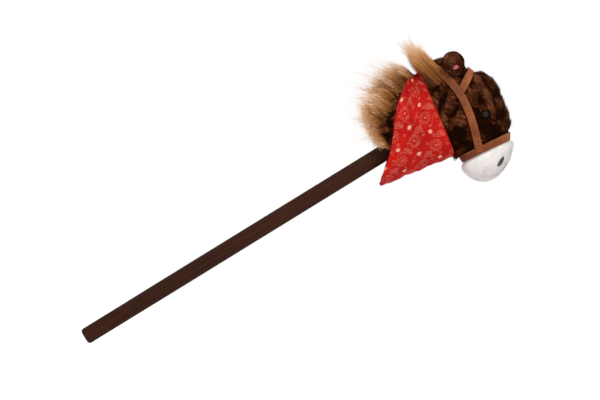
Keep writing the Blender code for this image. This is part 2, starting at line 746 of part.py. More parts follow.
def build_nostrils():
    """Build the two embroidered nostrils, almond patches that lie on the muzzle."""
    for side, word in ((-1, "right"), (1, "left")):
        along = muzzle_local(Vector((NOSTRIL_X, 0, STICK_VISIBLE_LENGTH + NOSTRIL_HEIGHT)))[0]
        centre = MUZZLE.side_point(along, NOSTRIL_HEIGHT, side)
        normal = MUZZLE.normal(centre)
        ahead = Vector((1, 0, 0)) - normal * normal.x
        ahead.normalize()
        tilt = math.radians(NOSTRIL_TILT)
        upward = (Vector((0, 0, 1)) - normal * normal.z).normalized()
        long_way = ahead * math.cos(tilt) + upward * math.sin(tilt)
        short_way = long_way.cross(normal)
        mesh_data = bmesh.new()
        layers = []
        for lift in (FIT_GAP, FIT_GAP + NOSTRIL_THICKNESS):
            rings = []
            for share in NOSTRIL_RINGS:
                ring = []
                for step in range(NOSTRIL_SIDES):
                    angle = 2 * math.pi * step / NOSTRIL_SIDES
                    reach = math.cos(angle) * NOSTRIL_LENGTH / 2
                    swell = math.sin(angle) * NOSTRIL_WIDTH / 2 * abs(math.sin(angle)) ** NOSTRIL_POINT
                    point = centre + (long_way * reach + short_way * swell) * share
                    ring.append(mesh_data.verts.new(MUZZLE.settle(point, lift)))
                rings.append(ring)
            middle = mesh_data.verts.new(MUZZLE.settle(centre, lift))
            layers.append((rings, middle))
        for rings, middle in layers:
            for i in range(NOSTRIL_SIDES):
                j = (i + 1) % NOSTRIL_SIDES
                mesh_data.faces.new((rings[0][i], rings[0][j], rings[1][j], rings[1][i]))
                mesh_data.faces.new((rings[1][i], rings[1][j], middle))
        low, high = layers[0][0][0], layers[1][0][0]
        for i in range(NOSTRIL_SIDES):
            j = (i + 1) % NOSTRIL_SIDES
            mesh_data.faces.new((low[i], low[j], high[j], high[i]))
        add_object(f"nostril_{word}", mesh_data, GREY_THREAD)


def strap_rings(path, grow=0.0):
    """Return the rings of a flat strap that hugs the head along a path of points."""
    rings = []
    for i, point in enumerate(path):
        before, after = path[max(i - 1, 0)], path[min(i + 1, len(path) - 1)]
        seat = HEAD.settle(point)
        at_back = head_local(seat)[0] < HEAD_BACK_ZONE_X
        normal = HEAD.settle_back(seat, 0.0)[1] if at_back else HEAD.normal(seat)
        tangent = (after - before).normalized()
        across = normal.cross(tangent).normalized()
        under, over = [], []
        for step in range(3):
            share = step - 1
            edge = seat + across * share * (STRAP_WIDTH / 2 + grow)
            under.append(HEAD.settle(edge, STRAP_LIFT - grow))
            over.append(HEAD.settle(edge, STRAP_LIFT + STRAP_THICKNESS + grow))
        rings.append(under + over[::-1])
    return rings


def world_line(line, side):
    """Return world points on one side of the head for a line of photo places and heights."""
    points = []
    for x, up in line:
        along = head_local(Vector((x, 0, STICK_VISIBLE_LENGTH + up)))[0]
        points.append(HEAD.side_point(along, up, side))
    return points


def crown_path():
    """Return the crown strap's path from one cheek round the back of the head to the other."""
    joint = [(STRAP_JOINT_X - FIT_GAP - run, STRAP_JOINT_HEIGHT) for run in (0.0, STRAP_JOINT_RUN)]
    line = joint + list(CROWN_LINE)
    right = world_line(line, -1)
    left = world_line(line, 1)
    low = CROWN_LINE[-1][1] - CROWN_BACK_DROP
    back = Vector((head_world(HEAD.start, 0, low).x, 0, STICK_VISIBLE_LENGTH + low))
    return smooth_path(right + [back] + left[::-1], 41)


def build_bridle():
    """Build the noseband and the straps of the bridle."""
    rings = []
    for step in range(40):
        angle = 2 * math.pi * step / 40
        corners = []
        for form, along in ((HEAD, NOSEBAND_BACK_X), (MUZZLE, NOSEBAND_FRONT_X - MUZZLE_SEAM_X)):
            seat = form.on_section(along, angle)
            outward = (form.on_section(along, angle, -STRAP_THICKNESS) - seat).normalized()
            corners.append((seat + outward * STRAP_LIFT, seat + outward * (STRAP_LIFT + STRAP_THICKNESS)))
        rings.append([corners[0][0], corners[1][0], corners[1][1], corners[0][1]])
    add_object("noseband", ring_solid(rings, closed=True), TAN_FELT)

    for side, word in ((-1, "right"), (1, "left")):
        joint = [(STRAP_JOINT_X + run, STRAP_JOINT_HEIGHT) for run in (STRAP_JOINT_RUN, 0.0)]
        line = list(CHEEK_LINE) + joint
        cheek = smooth_path(world_line(line, side), 15)
        add_object(f"cheek_strap_{word}", ring_solid(strap_rings(cheek)), TAN_FELT)
    add_object("crown_strap", ring_solid(strap_rings(crown_path())), TAN_FELT)
    top = HEAD.on_section(BROW_TOP_X, math.pi / 2)
    brow = world_line(BROW_LINE, -1) + [top] + world_line(BROW_LINE, 1)[::-1]
    browband = add_object("browband", ring_solid(strap_rings(smooth_path(brow, 25))), TAN_FELT)
    crown_room = add_cutter("crown_room", ring_solid(strap_rings(crown_path(), grow=FIT_GAP)))
    combine(browband, crown_room, "DIFFERENCE")


def in_body(point):
    """Return whether a point lies in the head or the neck."""
    along = head_local(point)[0]
    in_neck = NECK.start <= neck_local(point)[0] <= NECK.end and NECK.level(point) <= 0
    return in_neck or (HEAD.start <= along <= HEAD.end and HEAD.level(point) <= 0)


def body_reach(angle, height):
    """Return how far head and neck reach from the bandana's centre line in a direction."""
    direction = Vector((math.cos(angle), math.sin(angle), 0))
    centre = Vector((BANDANA_CENTRE_X, 0, STICK_VISIBLE_LENGTH + height))
    reach = BODY_SEARCH_START
    while reach > BODY_SEARCH_STEP and not in_body(centre + direction * reach):
        reach -= BODY_SEARCH_STEP
    low, high = reach, reach + BODY_SEARCH_STEP
    for _ in range(8):
        middle = (low + high) / 2
        low, high = (middle, high) if in_body(centre + direction * middle) else (low, middle)
    return low


def bandana_edges(angle):
    """Return the heights of the bandana's top fold and hem at an angle round the neck."""
    x = BANDANA_CENTRE_X + body_reach(angle, BANDANA_TOP) * math.cos(angle)
    return BANDANA_TOP - BANDANA_TOP_SLOPE * x, smooth_column(BANDANA_HEM, 1, x)


def bandana_reaches():
    """Return how far the cloth hangs from the centre line: one row of steps down per angle."""
    bodies, hung = [], []
    for i in range(BANDANA_AROUND):
        angle = 2 * math.pi * i / BANDANA_AROUND
        top, hem = bandana_edges(angle)
        step = (hem - top) / BANDANA_DOWN
        body, row = [], []
        for j in range(BANDANA_DOWN + 1):
            height = top + step * j
            here = body_reach(angle, height) if height > 0 else 0.0
            body.append(here)
            row.append(max(here, row[-1] + BANDANA_TAPER * step) if row else here)
        bodies.append(body)
        hung.append(row)
    for _ in range(BANDANA_SMOOTHING):
        hung = [
            [
                max(here, (hung[i - 1][j] + 2 * hung[i][j] + hung[(i + 1) % BANDANA_AROUND][j]) / 4)
                for j, here in enumerate(bodies[i])
            ]
            for i in range(BANDANA_AROUND)
        ]
    return hung


def build_bandana():
    """Build the folded bandana: a gathered ring of cloth whose tip hangs in front of the stick."""
    rings = []
    for i, reaches in enumerate(bandana_reaches()):
        angle = 2 * math.pi * i / BANDANA_AROUND
        share = abs(math.remainder(angle, 2 * math.pi)) / math.pi
        top, hem = bandana_edges(angle)
        swell = math.sin(math.pi * min(share * BANDANA_FOLD_TURN, 1.0))
        depth = BANDANA_FOLD_DEPTH * (BANDANA_FOLD_LEAST + (1 - BANDANA_FOLD_LEAST) * swell)
        inner, outer = [], []
        for j, reach in enumerate(reaches):
            part = j / BANDANA_DOWN
            height = STICK_VISIBLE_LENGTH + top + (hem - top) * part
            fold = depth * (0.5 - 0.5 * math.cos(2 * math.pi * BANDANA_FOLDS * part))
            for lift, row in ((BANDANA_LIFT, inner), (BANDANA_LIFT + BANDANA_THICKNESS, outer)):
                radius = reach + lift + fold
                x = BANDANA_CENTRE_X + radius * math.cos(angle)
                row.append(Vector((x, radius * math.sin(angle), height)))
        rings.append(inner + outer[::-1])
    add_object("bandana", ring_solid(rings, closed=True), RED_COTTON)


def ear_frame(side):
    """Return an ear's base point and its axes: length, width and the face's outward normal."""
    (x, up), axis = (EAR_RIGHT_BASE, EAR_RIGHT_AXIS) if side < 0 else (EAR_LEFT_BASE, EAR_LEFT_AXIS)
    along = head_local(Vector((x, 0, STICK_VISIBLE_LENGTH + up)))[0]
    base = HEAD.side_point(along, up, side)
    length = Vector(axis).normalized()
    face = Vector((0, side, 0)) - length * length.y * side
    face.normalize()
    width = face.cross(length) * -side
    return base, length, width, face


class EarForm:
    """The leaf form of one ear in its own axes."""

    def __init__(self, side):
        self.base, self.length, self.width, self.face = ear_frame(side)

    def solid(self, inset, tail=0.0):
        """Return the ear's form drawn in by an inset, its root lengthened by a tail."""
        rings = []
        power = 2 / EAR_EXPONENT
        rows = [(share * EAR_LENGTH, half, thick) for share, half, thick in EAR_STATIONS]
        places = [row[0] for row in rows]
        if tail:
            places = [rows[0][0] - tail] + places
        for place in places:
            half = smooth_column(rows, 1, place) - inset
            thick = smooth_column(rows, 2, place) - inset
            drawn = inset * max(place / EAR_LENGTH, 0.0) ** 2
            ring = []
            for step in range(EAR_SIDES):
                angle = 2 * math.pi * (step + 0.5) / EAR_SIDES
                across = math.copysign(abs(math.cos(angle)) ** power, math.cos(angle)) * half
                out = math.copysign(abs(math.sin(angle)) ** power, math.sin(angle)) * thick
                spot = self.base + self.length * (place - drawn)
                ring.append(spot + self.width * across + self.face * out)
            rings.append(ring)
        return ring_solid(rings, end_tip=self.base + self.length * (EAR_LENGTH - inset))

    def sound_frame(self):
        """Return the sound unit's axes: local Z is the button's axis, out of the ear's face."""
        centre = self.base + self.length * CASE_ALONG_EAR
        turn = Matrix((self.length, self.face.cross(self.length), self.face)).transposed()
        return Matrix.Translation(centre) @ turn.to_4x4()


def build_ears():
    """Build both ears with their filling, and the press opening in the right one."""
    head_keepout = add_cutter("head_keepout", head_solid(-FIT_GAP))
    for side, word in ((-1, "right"), (1, "left")):
        form = EarForm(side)
        ear = add_object(f"ear_{word}", form.solid(0.0), BROWN_PLUSH)
        hollow = add_cutter(f"ear_hollow_{word}", form.solid(EAR_WALL, tail=EAR_TAIL))
        combine(ear, head_keepout, "DIFFERENCE")
        combine(ear, hollow, "DIFFERENCE")
        filling = add_object(f"ear_stuffing_{word}", form.solid(EAR_WALL + FIT_GAP), WHITE_FILLING)
        combine(filling, head_keepout, "DIFFERENCE")
        if side > 0:
            continue
        frame = form.sound_frame()
        room = turned(disc_profile(CASE_RADIUS + FIT_GAP, -CASE_HALF_DEPTH - FIT_GAP, EAR_TAIL * 2), 40)
        cutter = add_cutter("case_room", room)
        cutter.matrix_world = frame
        combine(filling, cutter, "DIFFERENCE")
        window = turned(disc_profile(MARK_RADIUS + MARK_OPENING_GAP, 0.0, EAR_TAIL * 2), 32)
        cutter = add_cutter("press_opening", window)
        cutter.matrix_world = frame
        combine(ear, cutter, "DIFFERENCE")


def build_sound_unit():
    """Build the sound unit about the button's axis, in the right ear."""
    frame = EarForm(-1).sound_frame()
    depth, wall, edge = CASE_HALF_DEPTH, CASE_WALL, CASE_EDGE
    split = -depth + wall
    inner = CASE_RADIUS - wall
    made = []
    front = [
        (BUTTON_RADIUS + FIT_GAP, depth), (CASE_RADIUS - edge, depth), (CASE_RADIUS, depth - edge),
        (CASE_RADIUS, split + FIT_GAP), (inner, split + FIT_GAP), (inner, depth - wall),
        (BUTTON_RADIUS + FIT_GAP, depth - wall),
    ]
    made.append(add_object("case_front", turned(front, 28), PALE_PLASTIC))
    back = [
        (0.0, -depth), (CASE_RADIUS - edge, -depth), (CASE_RADIUS, -depth + edge), (CASE_RADIUS, split),
        (0.0, split),
    ]
    plate = add_object("case_back", turned(back, 28), PALE_PLASTIC)
    holes = bmesh.new()
    for step in range(GRILLE_HOLES):
        angle = GRILLE_TURN + 2 * math.pi * step / GRILLE_HOLES
        centre = (GRILLE_RADIUS * math.cos(angle), GRILLE_RADIUS * math.sin(angle), -depth)
        bmesh.ops.create_cone(
            holes, cap_ends=True, segments=8, radius1=GRILLE_HOLE_RADIUS, radius2=GRILLE_HOLE_RADIUS,
            depth=4 * wall, matrix=Matrix.Translation(centre),
        )
    grille = add_cutter("sound_holes", holes)
    grille.matrix_world = frame
    combine(plate, grille, "DIFFERENCE")
    weld(plate)
    made.append(plate)

    board_top = BOARD_LEVEL + BOARD_THICKNESS
    board = turned(disc_profile(BOARD_RADIUS, BOARD_LEVEL, board_top), 24)
    made.append(add_object("circuit_board", board, GREEN_BOARD))
    strip_top = BOARD_LEVEL - FIT_GAP
    strip = turned(disc_profile(CONTACT_RADIUS, strip_top - FIT_GAP, strip_top), 24)
    made.append(add_object("battery_contact", strip, BARE_METAL))
    cell_top = strip_top - 2 * FIT_GAP
    cell_low = cell_top - CELL_THICKNESS
    spread = (2 * CELL_RADIUS + FIT_GAP) / math.sqrt(3)
    for step in range(3):
        angle = 2 * math.pi * step / 3
        cell = turned(disc_profile(CELL_RADIUS, cell_low, cell_top, SMALL_EDGE), 16)
        place = (spread * math.cos(angle), spread * math.sin(angle), 0)
        bmesh.ops.translate(cell, vec=place, verts=cell.verts)
        made.append(add_object(f"cell_{step + 1}", cell, BARE_METAL))
    speaker_low = split + FIT_GAP / 2
    speaker = turned(disc_profile(SPEAKER_RADIUS, speaker_low, speaker_low + SPEAKER_THICKNESS), 32)
    made.append(add_object("speaker_disc", speaker, BRASS_METAL))

    flange_top = depth - wall - FIT_GAP
    flange_low = flange_top - BUTTON_FLANGE_THICKNESS
    cap_top = depth + BUTTON_TRAVEL + BUTTON_PROUD
    bore = SPRING_RADIUS + SPRING_WIRE + FIT_GAP
    crown = depth - wall / 2
    button = turned([
        (bore, flange_low), (BUTTON_FLANGE, flange_low), (BUTTON_FLANGE, flange_top),
        (BUTTON_RADIUS, flange_top), (BUTTON_RADIUS, cap_top - SMALL_EDGE),
        (BUTTON_RADIUS - SMALL_EDGE, cap_top), (0.0, cap_top), (0.0, crown), (bore, crown),
    ], 32)
    made.append(add_object("sound_button", button, RED_PLASTIC))
    mark_low = cap_top + FIT_GAP
    mark = turned(disc_profile(MARK_RADIUS, mark_low, mark_low + MARK_THICKNESS, SMALL_EDGE), 28)
    made.append(add_object("press_mark", mark, PINK_PATCH))
    for thing in made:
        thing.matrix_world = frame

    coil = bpy.data.curves.new("button_spring", "CURVE")
    coil.dimensions = "3D"
    coil.bevel_depth = SPRING_WIRE / 2
    coil.bevel_resolution = 1
    coil.use_fill_caps = True
    spline = coil.splines.new("POLY")
    low = board_top + SPRING_WIRE / 2 + FIT_GAP
    high = crown - SPRING_WIRE / 2 - FIT_GAP
    count = SPRING_TURNS * 10 + 1
    spline.points.add(count - 1)
    for i, point in enumerate(spline.points):
        angle = 2 * math.pi * i / 10
        rise = low + (high - low) * i / (count - 1)
        point.co = (SPRING_RADIUS * math.cos(angle), SPRING_RADIUS * math.sin(angle), rise, 1.0)
    spring = bpy.data.objects.new("button_spring", coil)
    bpy.context.scene.collection.objects.link(spring)
    coil.materials.append(material("button_spring", *BARE_METAL))
    spring.matrix_world = frame


def lock(points, root_radius, twist=0.0, spindle=False):
    """Return the rings and tip of one tapering lock of hair along a line of points."""
    path = smooth_path([Vector(point) for point in points], LOCK_RINGS + 1)
    rings = []
    for i, point in enumerate(path[:-1]):
        tangent = (path[i + 1] - path[max(i - 1, 0)]).normalized()
        sideways = Vector((0, 1, 0)) - tangent * tangent.y
        sideways.normalize()
        other = tangent.cross(sideways) * LOCK_FLATNESS
        share = i / LOCK_RINGS
        taper = math.sin(math.pi * share) ** SPINDLE_FULLNESS if spindle else 1 - share ** LOCK_TAPER
        radius = root_radius * taper + LOCK_POINT
        turns = [twist + 2 * math.pi * k / LOCK_SIDES for k in range(LOCK_SIDES)]
        rings.append([
            point + (sideways * math.cos(turn) + other * math.sin(turn)) * radius for turn in turns
        ])
    return rings, path[-1]


def mane_row(first, last, count, radius, swell=0.0):
    """Return a row of locks that runs from a first one to a last one, on alternate sides."""
    row = []
    for i in range(count):
        share = i / (count - 1)
        side = (-1) ** i
        points = []
        for k, (a, b) in enumerate(zip(first, last)):
            x, across, up = (low + (high - low) * share for low, high in zip(a, b))
            back = swell * math.sin(math.pi * share) * k / 2
            points.append(Vector((x - back, side * across, STICK_VISIBLE_LENGTH + up)))
        row.append((points, radius))
    return row


def tuft(name, bed, bed_radius, locks):
    """Build one tuft: a spindle that lies on the seam, merged with its locks."""
    line = [Vector((x, across, STICK_VISIBLE_LENGTH + up)) for x, across, up in bed]
    rings, tip = lock(line, bed_radius, twist=LOCK_TWIST / 2, spindle=True)
    body = add_object(name, ring_solid(rings, end_tip=tip), CARAMEL_HAIR)
    for number, (points, radius) in enumerate(locks):
        rings, tip = lock(points, radius, twist=LOCK_TWIST * (number + 1))
        combine(body, add_cutter(f"{name}_lock_{number}", ring_solid(rings, end_tip=tip)), "UNION")
    return body


def build_mane():
    """Build the upper and the lower tuft of the mane, each cut to lie on what it grows from."""
    row = mane_row(MANE_UPPER_FIRST, MANE_UPPER_LAST, MANE_UPPER_LOCKS, MANE_LOCK_RADIUS, MANE_SWELL)
    upper = tuft("mane_upper", MANE_UPPER_BED, MANE_UPPER_BED_RADIUS, row)
    row = mane_row(MANE_LOWER_FIRST, MANE_LOWER_LAST, MANE_LOWER_LOCKS, MANE_LOCK_RADIUS)
    row += mane_row(MANE_TIPS_FIRST, MANE_TIPS_LAST, MANE_TIP_LOCKS, MANE_TIP_RADIUS)
    lower = tuft("mane_lower", MANE_LOWER_BED, MANE_LOWER_BED_RADIUS, row)
    for cutter in ("head_keepout", "crown_room"):
        combine(upper, bpy.data.objects[cutter], "DIFFERENCE")
    weld(upper)
    neck_room = add_cutter("mane_neck_room", neck_solid(-FIT_GAP, drop=FIT_GAP))
    combine(lower, neck_room, "DIFFERENCE")
    weld(lower)


def main():
    """Build the toy piece by piece."""
    clear_scene()
    build_plush()
    build_stick()
    build_filling()
    build_eyes()
    build_nostrils()
    build_bridle()
    build_bandana()
    build_ears()
    build_sound_unit()
    build_mane()


main()
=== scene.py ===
"""Dresses the hobby horse: plush pile, hair, felt bridle, printed bandana, wooden stick and a pale studio.

The frame stands on the stick's foot: +Z runs up the stick, +X is the way the horse faces and +Y is
the horse's left. Sizes are in metres, and heights in the head are measured from the neck's edge.
"""

import logging
import math
from collections.abc import Callable
from dataclasses import dataclass, field
from enum import Enum

import bpy
import numpy as np
from mathutils import Matrix, Vector
from mathutils.bvhtree import BVHTree

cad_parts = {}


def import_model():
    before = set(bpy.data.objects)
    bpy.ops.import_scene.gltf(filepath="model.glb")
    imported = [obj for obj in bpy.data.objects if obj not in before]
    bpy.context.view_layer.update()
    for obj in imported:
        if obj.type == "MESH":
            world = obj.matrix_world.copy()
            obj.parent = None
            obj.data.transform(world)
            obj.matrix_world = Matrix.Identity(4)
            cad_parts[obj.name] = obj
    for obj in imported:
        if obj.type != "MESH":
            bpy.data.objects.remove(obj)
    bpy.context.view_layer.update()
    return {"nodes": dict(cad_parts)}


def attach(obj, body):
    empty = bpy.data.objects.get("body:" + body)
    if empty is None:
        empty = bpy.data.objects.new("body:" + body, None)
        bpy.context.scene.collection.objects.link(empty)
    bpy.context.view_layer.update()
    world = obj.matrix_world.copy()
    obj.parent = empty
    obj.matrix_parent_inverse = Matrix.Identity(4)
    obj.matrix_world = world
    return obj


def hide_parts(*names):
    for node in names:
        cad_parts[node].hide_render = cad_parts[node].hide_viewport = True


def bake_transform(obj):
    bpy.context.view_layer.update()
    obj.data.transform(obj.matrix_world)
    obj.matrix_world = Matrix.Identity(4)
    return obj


LOG = logging.getLogger("hobby_horse")

NECK_EDGE = 0.518
SEAM_LEAN = 0.10
SEAM_LEAN_HEIGHT = 0.118
MUZZLE_SEAM_X = 0.0705
HEAD_BACK_TIP = 0.0008
HEAD_CORE_X = -0.0300
HEAD_BACK_ZONE_X = -0.0580

HEAD_STATIONS = (
    (-0.0768, 0.1230, 0.1090, 0.0090),
    (-0.0725, 0.1370, 0.0970, 0.0235),
    (-0.0620, 0.1470, 0.0900, 0.0365),
    (-0.0440, 0.1570, 0.0838, 0.0465),
    (-0.0365, 0.1605, 0.0825, 0.0485),
    (-0.0285, 0.1740, 0.0810, 0.0505),
    (-0.0120, 0.1815, 0.0790, 0.0520),
    (0.0250, 0.1755, 0.0785, 0.0503),
    (0.0540, 0.1700, 0.0802, 0.0450),
    (0.0640, 0.1600, 0.0815, 0.0415),
    (0.0705, 0.1530, 0.0825, 0.0390),
)
MUZZLE_STATIONS = (
    (0.0000, 0.1530, 0.0825, 0.0390),
    (0.0055, 0.1530, 0.0815, 0.0392),
    (0.0100, 0.1575, 0.0750, 0.0405),
    (0.0180, 0.1530, 0.0740, 0.0392),
    (0.0275, 0.1440, 0.0765, 0.0350),
    (0.0350, 0.1335, 0.0810, 0.0280),
    (0.0410, 0.1230, 0.0870, 0.0200),
    (0.0450, 0.1140, 0.0950, 0.0105),
)
NECK_STATIONS = (
    (0.0000, 0.0330, -0.0510, 0.0340),
    (0.0040, 0.0380, -0.0560, 0.0380),
    (0.0170, 0.0430, -0.0620, 0.0410),
    (0.0420, 0.0480, -0.0680, 0.0440),
    (0.0670, 0.0530, -0.0710, 0.0450),
    (0.0850, 0.0560, -0.0715, 0.0440),
    (0.1010, 0.0440, -0.0600, 0.0370),
    (0.1150, 0.0300, -0.0450, 0.0280),
)
GUSSET_SEAM = (
    (-0.048, 0.1420), (-0.034, 0.1500), (-0.020, 0.1605), (0.010, 0.1608), (0.040, 0.1512), (0.066, 0.1400),
)

LUMP = 0.0095
LUMP_SEED = 7

Points = np.ndarray
Sockets = bpy.types.bpy_prop_collection


def smooth_values(rows: tuple, column: int, at: Points) -> Points:
    """Read one column of a station table at many distances, on a smooth curve through its rows.

    Args:
        rows: The station table, its first column the distance.
        column: The column to read.
        at: The distances.

    Returns:
        The column's value at each distance.
    """
    keys = np.array([row[0] for row in rows])
    values = np.array([row[column] for row in rows])
    slopes = np.empty_like(values)
    slopes[1:-1] = (values[2:] - values[:-2]) / (keys[2:] - keys[:-2])
    slopes[0] = (values[1] - values[0]) / (keys[1] - keys[0])
    slopes[-1] = (values[-1] - values[-2]) / (keys[-1] - keys[-2])
    at = np.clip(at, keys[0], keys[-1])
    i = np.clip(np.searchsorted(keys, at, side="right") - 1, 0, len(keys) - 2)
    span = keys[i + 1] - keys[i]
    t = (at - keys[i]) / span
    rise = values[i] * (1 + 2 * t) * (1 - t) ** 2 + values[i + 1] * t * t * (3 - 2 * t)
    return rise + slopes[i] * span * t * (1 - t) ** 2 + slopes[i + 1] * span * t * t * (t - 1)


def smooth_path(points: Points, count: int) -> Points:
    """Resample a line of points to a count of even steps on a smooth curve.

    Args:
        points: The line's points, one row each.
        count: How many points to return.

    Returns:
        The resampled points.
    """
    travelled = np.concatenate([[0.0], np.cumsum(np.linalg.norm(np.diff(points, axis=0), axis=1))])
    rows = tuple((d, *p) for d, p in zip(travelled, points))
    at = np.linspace(0.0, travelled[-1], count)
    return np.stack([smooth_values(rows, axis, at) for axis in (1, 2, 3)], axis=-1)


def unit(vectors: Points) -> Points:
    """Return the vectors at length one."""
    return vectors / np.maximum(np.linalg.norm(vectors, axis=-1, keepdims=True), 1e-12)


@dataclass(frozen=True)
class StuffedForm:
    """A stuffed form whose sections are rounded ovals at stations along a line."""

    stations: tuple
    shift: float = 0.0
    upright: bool = False
    exponent: float = 2.35

    def section(self, along: Points) -> tuple[Points, Points, Points]:
        """Return the middle, the half height and the half width of the sections."""
        high, low, half = (smooth_values(self.stations, column, along) for column in (1, 2, 3))
        return (high + low) / 2, (high - low) / 2, half

    def to_world(self, along: Points, across: Points, up: Points) -> Points:
        """Turn the form's own coordinates into world points.

        Args:
            along: How far along the form's line.
            across: How far to the horse's left.
            up: The height, or for an upright form how far forward.

        Returns:
            The world points.
        """
        if self.upright:
            return np.stack(np.broadcast_arrays(up, across, NECK_EDGE + along), axis=-1)
        x = along + self.shift + SEAM_LEAN * (up - SEAM_LEAN_HEIGHT)
        return np.stack(np.broadcast_arrays(x, across, NECK_EDGE + up), axis=-1)

    def to_local(self, points: Points) -> tuple[Points, Points, Points]:
        """Turn world points into the form's own coordinates.

        Args:
            points: World points.

        Returns:
            The same three lengths that to_world takes.
        """
        x, y, up = points[..., 0], points[..., 1], points[..., 2] - NECK_EDGE
        if self.upright:
            return up, y, x
        return x - SEAM_LEAN * (up - SEAM_LEAN_HEIGHT) - self.shift, y, up

    def level(self, points: Points) -> Points:
        """Tell how far points are outside the form.

        Args:
            points: World points.

        Returns:
            The level: negative inside, 0 on the surface.
        """
        along, across, up = self.to_local(points)
        middle, half_height, half_width = self.section(along)
        power = self.exponent
        return np.abs(across / half_width) ** power + np.abs((up - middle) / half_height) ** power - 1

    def slope(self, points: Points) -> Points:
        """Tell which way the level rises.

        Args:
            points: World points.

        Returns:
            The gradient of the level at each.
        """
        step = 1e-5
        pairs = ((points + shift, points - shift) for shift in np.eye(3) * step)
        rises = [(self.level(ahead) - self.level(back)) / (2 * step) for ahead, back in pairs]
        return np.stack(rises, axis=-1)

    def settle(self, points: Points, lift: float = 0.0) -> Points:
        """Drop points onto the surface and lift them off again.

        Args:
            points: World points near the surface.
            lift: How far off the surface they end.

        Returns:
            The settled points.
        """
        for _ in range(7):
            slope = self.slope(points)
            points = points - slope * (self.level(points) / (slope ** 2).sum(axis=-1))[..., None]
        return points + unit(self.slope(points)) * lift

    def side_point(self, along: Points, up: Points, side: int) -> Points:
        """Find points on one side of the surface.

        Args:
            along: How far along the form's line.
            up: The heights.
            side: 1 for the horse's left, -1 for its right.

        Returns:
            The world points.
        """
        middle, half_height, half_width = self.section(along)
        share = 1 - np.abs((up - middle) / half_height) ** self.exponent
        return self.to_world(along, side * half_width * share ** (1 / self.exponent), up)

    def on_section(self, along: Points, angle: Points, inset: float = 0.0) -> Points:
        """Find points on sections of the surface.

        Args:
            along: How far along the form's line.
            angle: The angles from the +Y side towards the high side.
            inset: How far inside the surface they lie.

        Returns:
            The world points.
        """
        middle, half_height, half_width = self.section(along)
        power = 2 / self.exponent
        across = np.sign(np.cos(angle)) * np.abs(np.cos(angle)) ** power
        up = np.sign(np.sin(angle)) * np.abs(np.sin(angle)) ** power
        return self.to_world(along, (half_width - inset) * across, middle + (half_height - inset) * up)


HEAD = StuffedForm(HEAD_STATIONS)
MUZZLE = StuffedForm(MUZZLE_STATIONS, shift=MUZZLE_SEAM_X)
NECK = StuffedForm(NECK_STATIONS, upright=True)


def head_seat(points: Points) -> Points:
    """Return where points lie on the rounded back of the head, seen from the head's core.

    Args:
        points: World points near the back of the head, one row each.

    Returns:
        The points on the surface.
    """
    along = np.maximum(HEAD.to_local(points)[0], HEAD_CORE_X)
    core = HEAD.to_world(along, np.zeros(len(points)), HEAD.section(along)[0])
    way = unit(points - core)
    low, high = np.zeros(len(points)), np.full(len(points), 0.12)
    start = HEAD_STATIONS[0][0] - HEAD_BACK_TIP
    for _ in range(24):
        middle = (low + high) / 2
        probe = core + way * middle[:, None]
        inside = (HEAD.to_local(probe)[0] >= start) & (HEAD.level(probe) <= 0)
        low, high = np.where(inside, middle, low), np.where(inside, high, middle)
    return core + way * low[:, None]


def back_normal(seats: Points, spread: float = 0.003) -> Points:
    """Find the outward directions on the back of the head.

    Args:
        seats: Points on the surface, one row each.
        spread: How far round each point the surface is read.

    Returns:
        The directions, at length one.
    """
    shifts = ((0, -spread, 0), (0, spread, 0), (0, 0, -spread), (0, 0, spread))
    right, left, low, high = (head_seat(seats + np.array(shift)) for shift in shifts)
    normal = unit(np.cross(left - right, high - low))
    return np.where(normal[:, :1] > 0, -normal, normal)


def settle_on_head(points: Points, lift: float = 0.0) -> tuple[Points, Points]:
    """Drop points onto the head, its rounded back included, and lift them off again.

    Args:
        points: World points, one row each.
        lift: How far off the surface they end.

    Returns:
        The points and the outward directions there.
    """
    seats = HEAD.settle(points)
    normals = unit(HEAD.slope(seats))
    back = HEAD.to_local(points)[0] < HEAD_BACK_ZONE_X
    if back.any():
        seats[back] = head_seat(points[back])
        normals[back] = back_normal(seats[back])
    return seats + normals * lift, normals


def ripple(points: Points, size: float, rng: np.random.Generator, waves: int = 14) -> Points:
    """Return a smooth random field from about -1 to 1.

    Args:
        points: Where to read it, one row each.
        size: The size of its lumps.
        rng: The seeded source of its waves.
        waves: How many plane waves make it up.

    Returns:
        One value for each point.
    """
    ways = unit(rng.normal(size=(waves, 3))) * rng.uniform(0.6, 1.4, (waves, 1)) * math.pi / size
    phases = rng.uniform(0, 2 * math.pi, waves)
    return np.sin(points @ ways.T + phases).sum(axis=1) / math.sqrt(waves)


class Slot(Enum):
    """Names of finishes that the materials keep as their slot."""

    BROWN = "plush_brown"
    WHITE = "plush_white"
    FELT = "felt_tan"
    COTTON = "cotton_red"
    HAIR = "hair_caramel"
    FILLING = "filling_white"
    THREAD = "thread_grey"
    PATCH = "patch_pink"
    STEEL = "metal_steel"


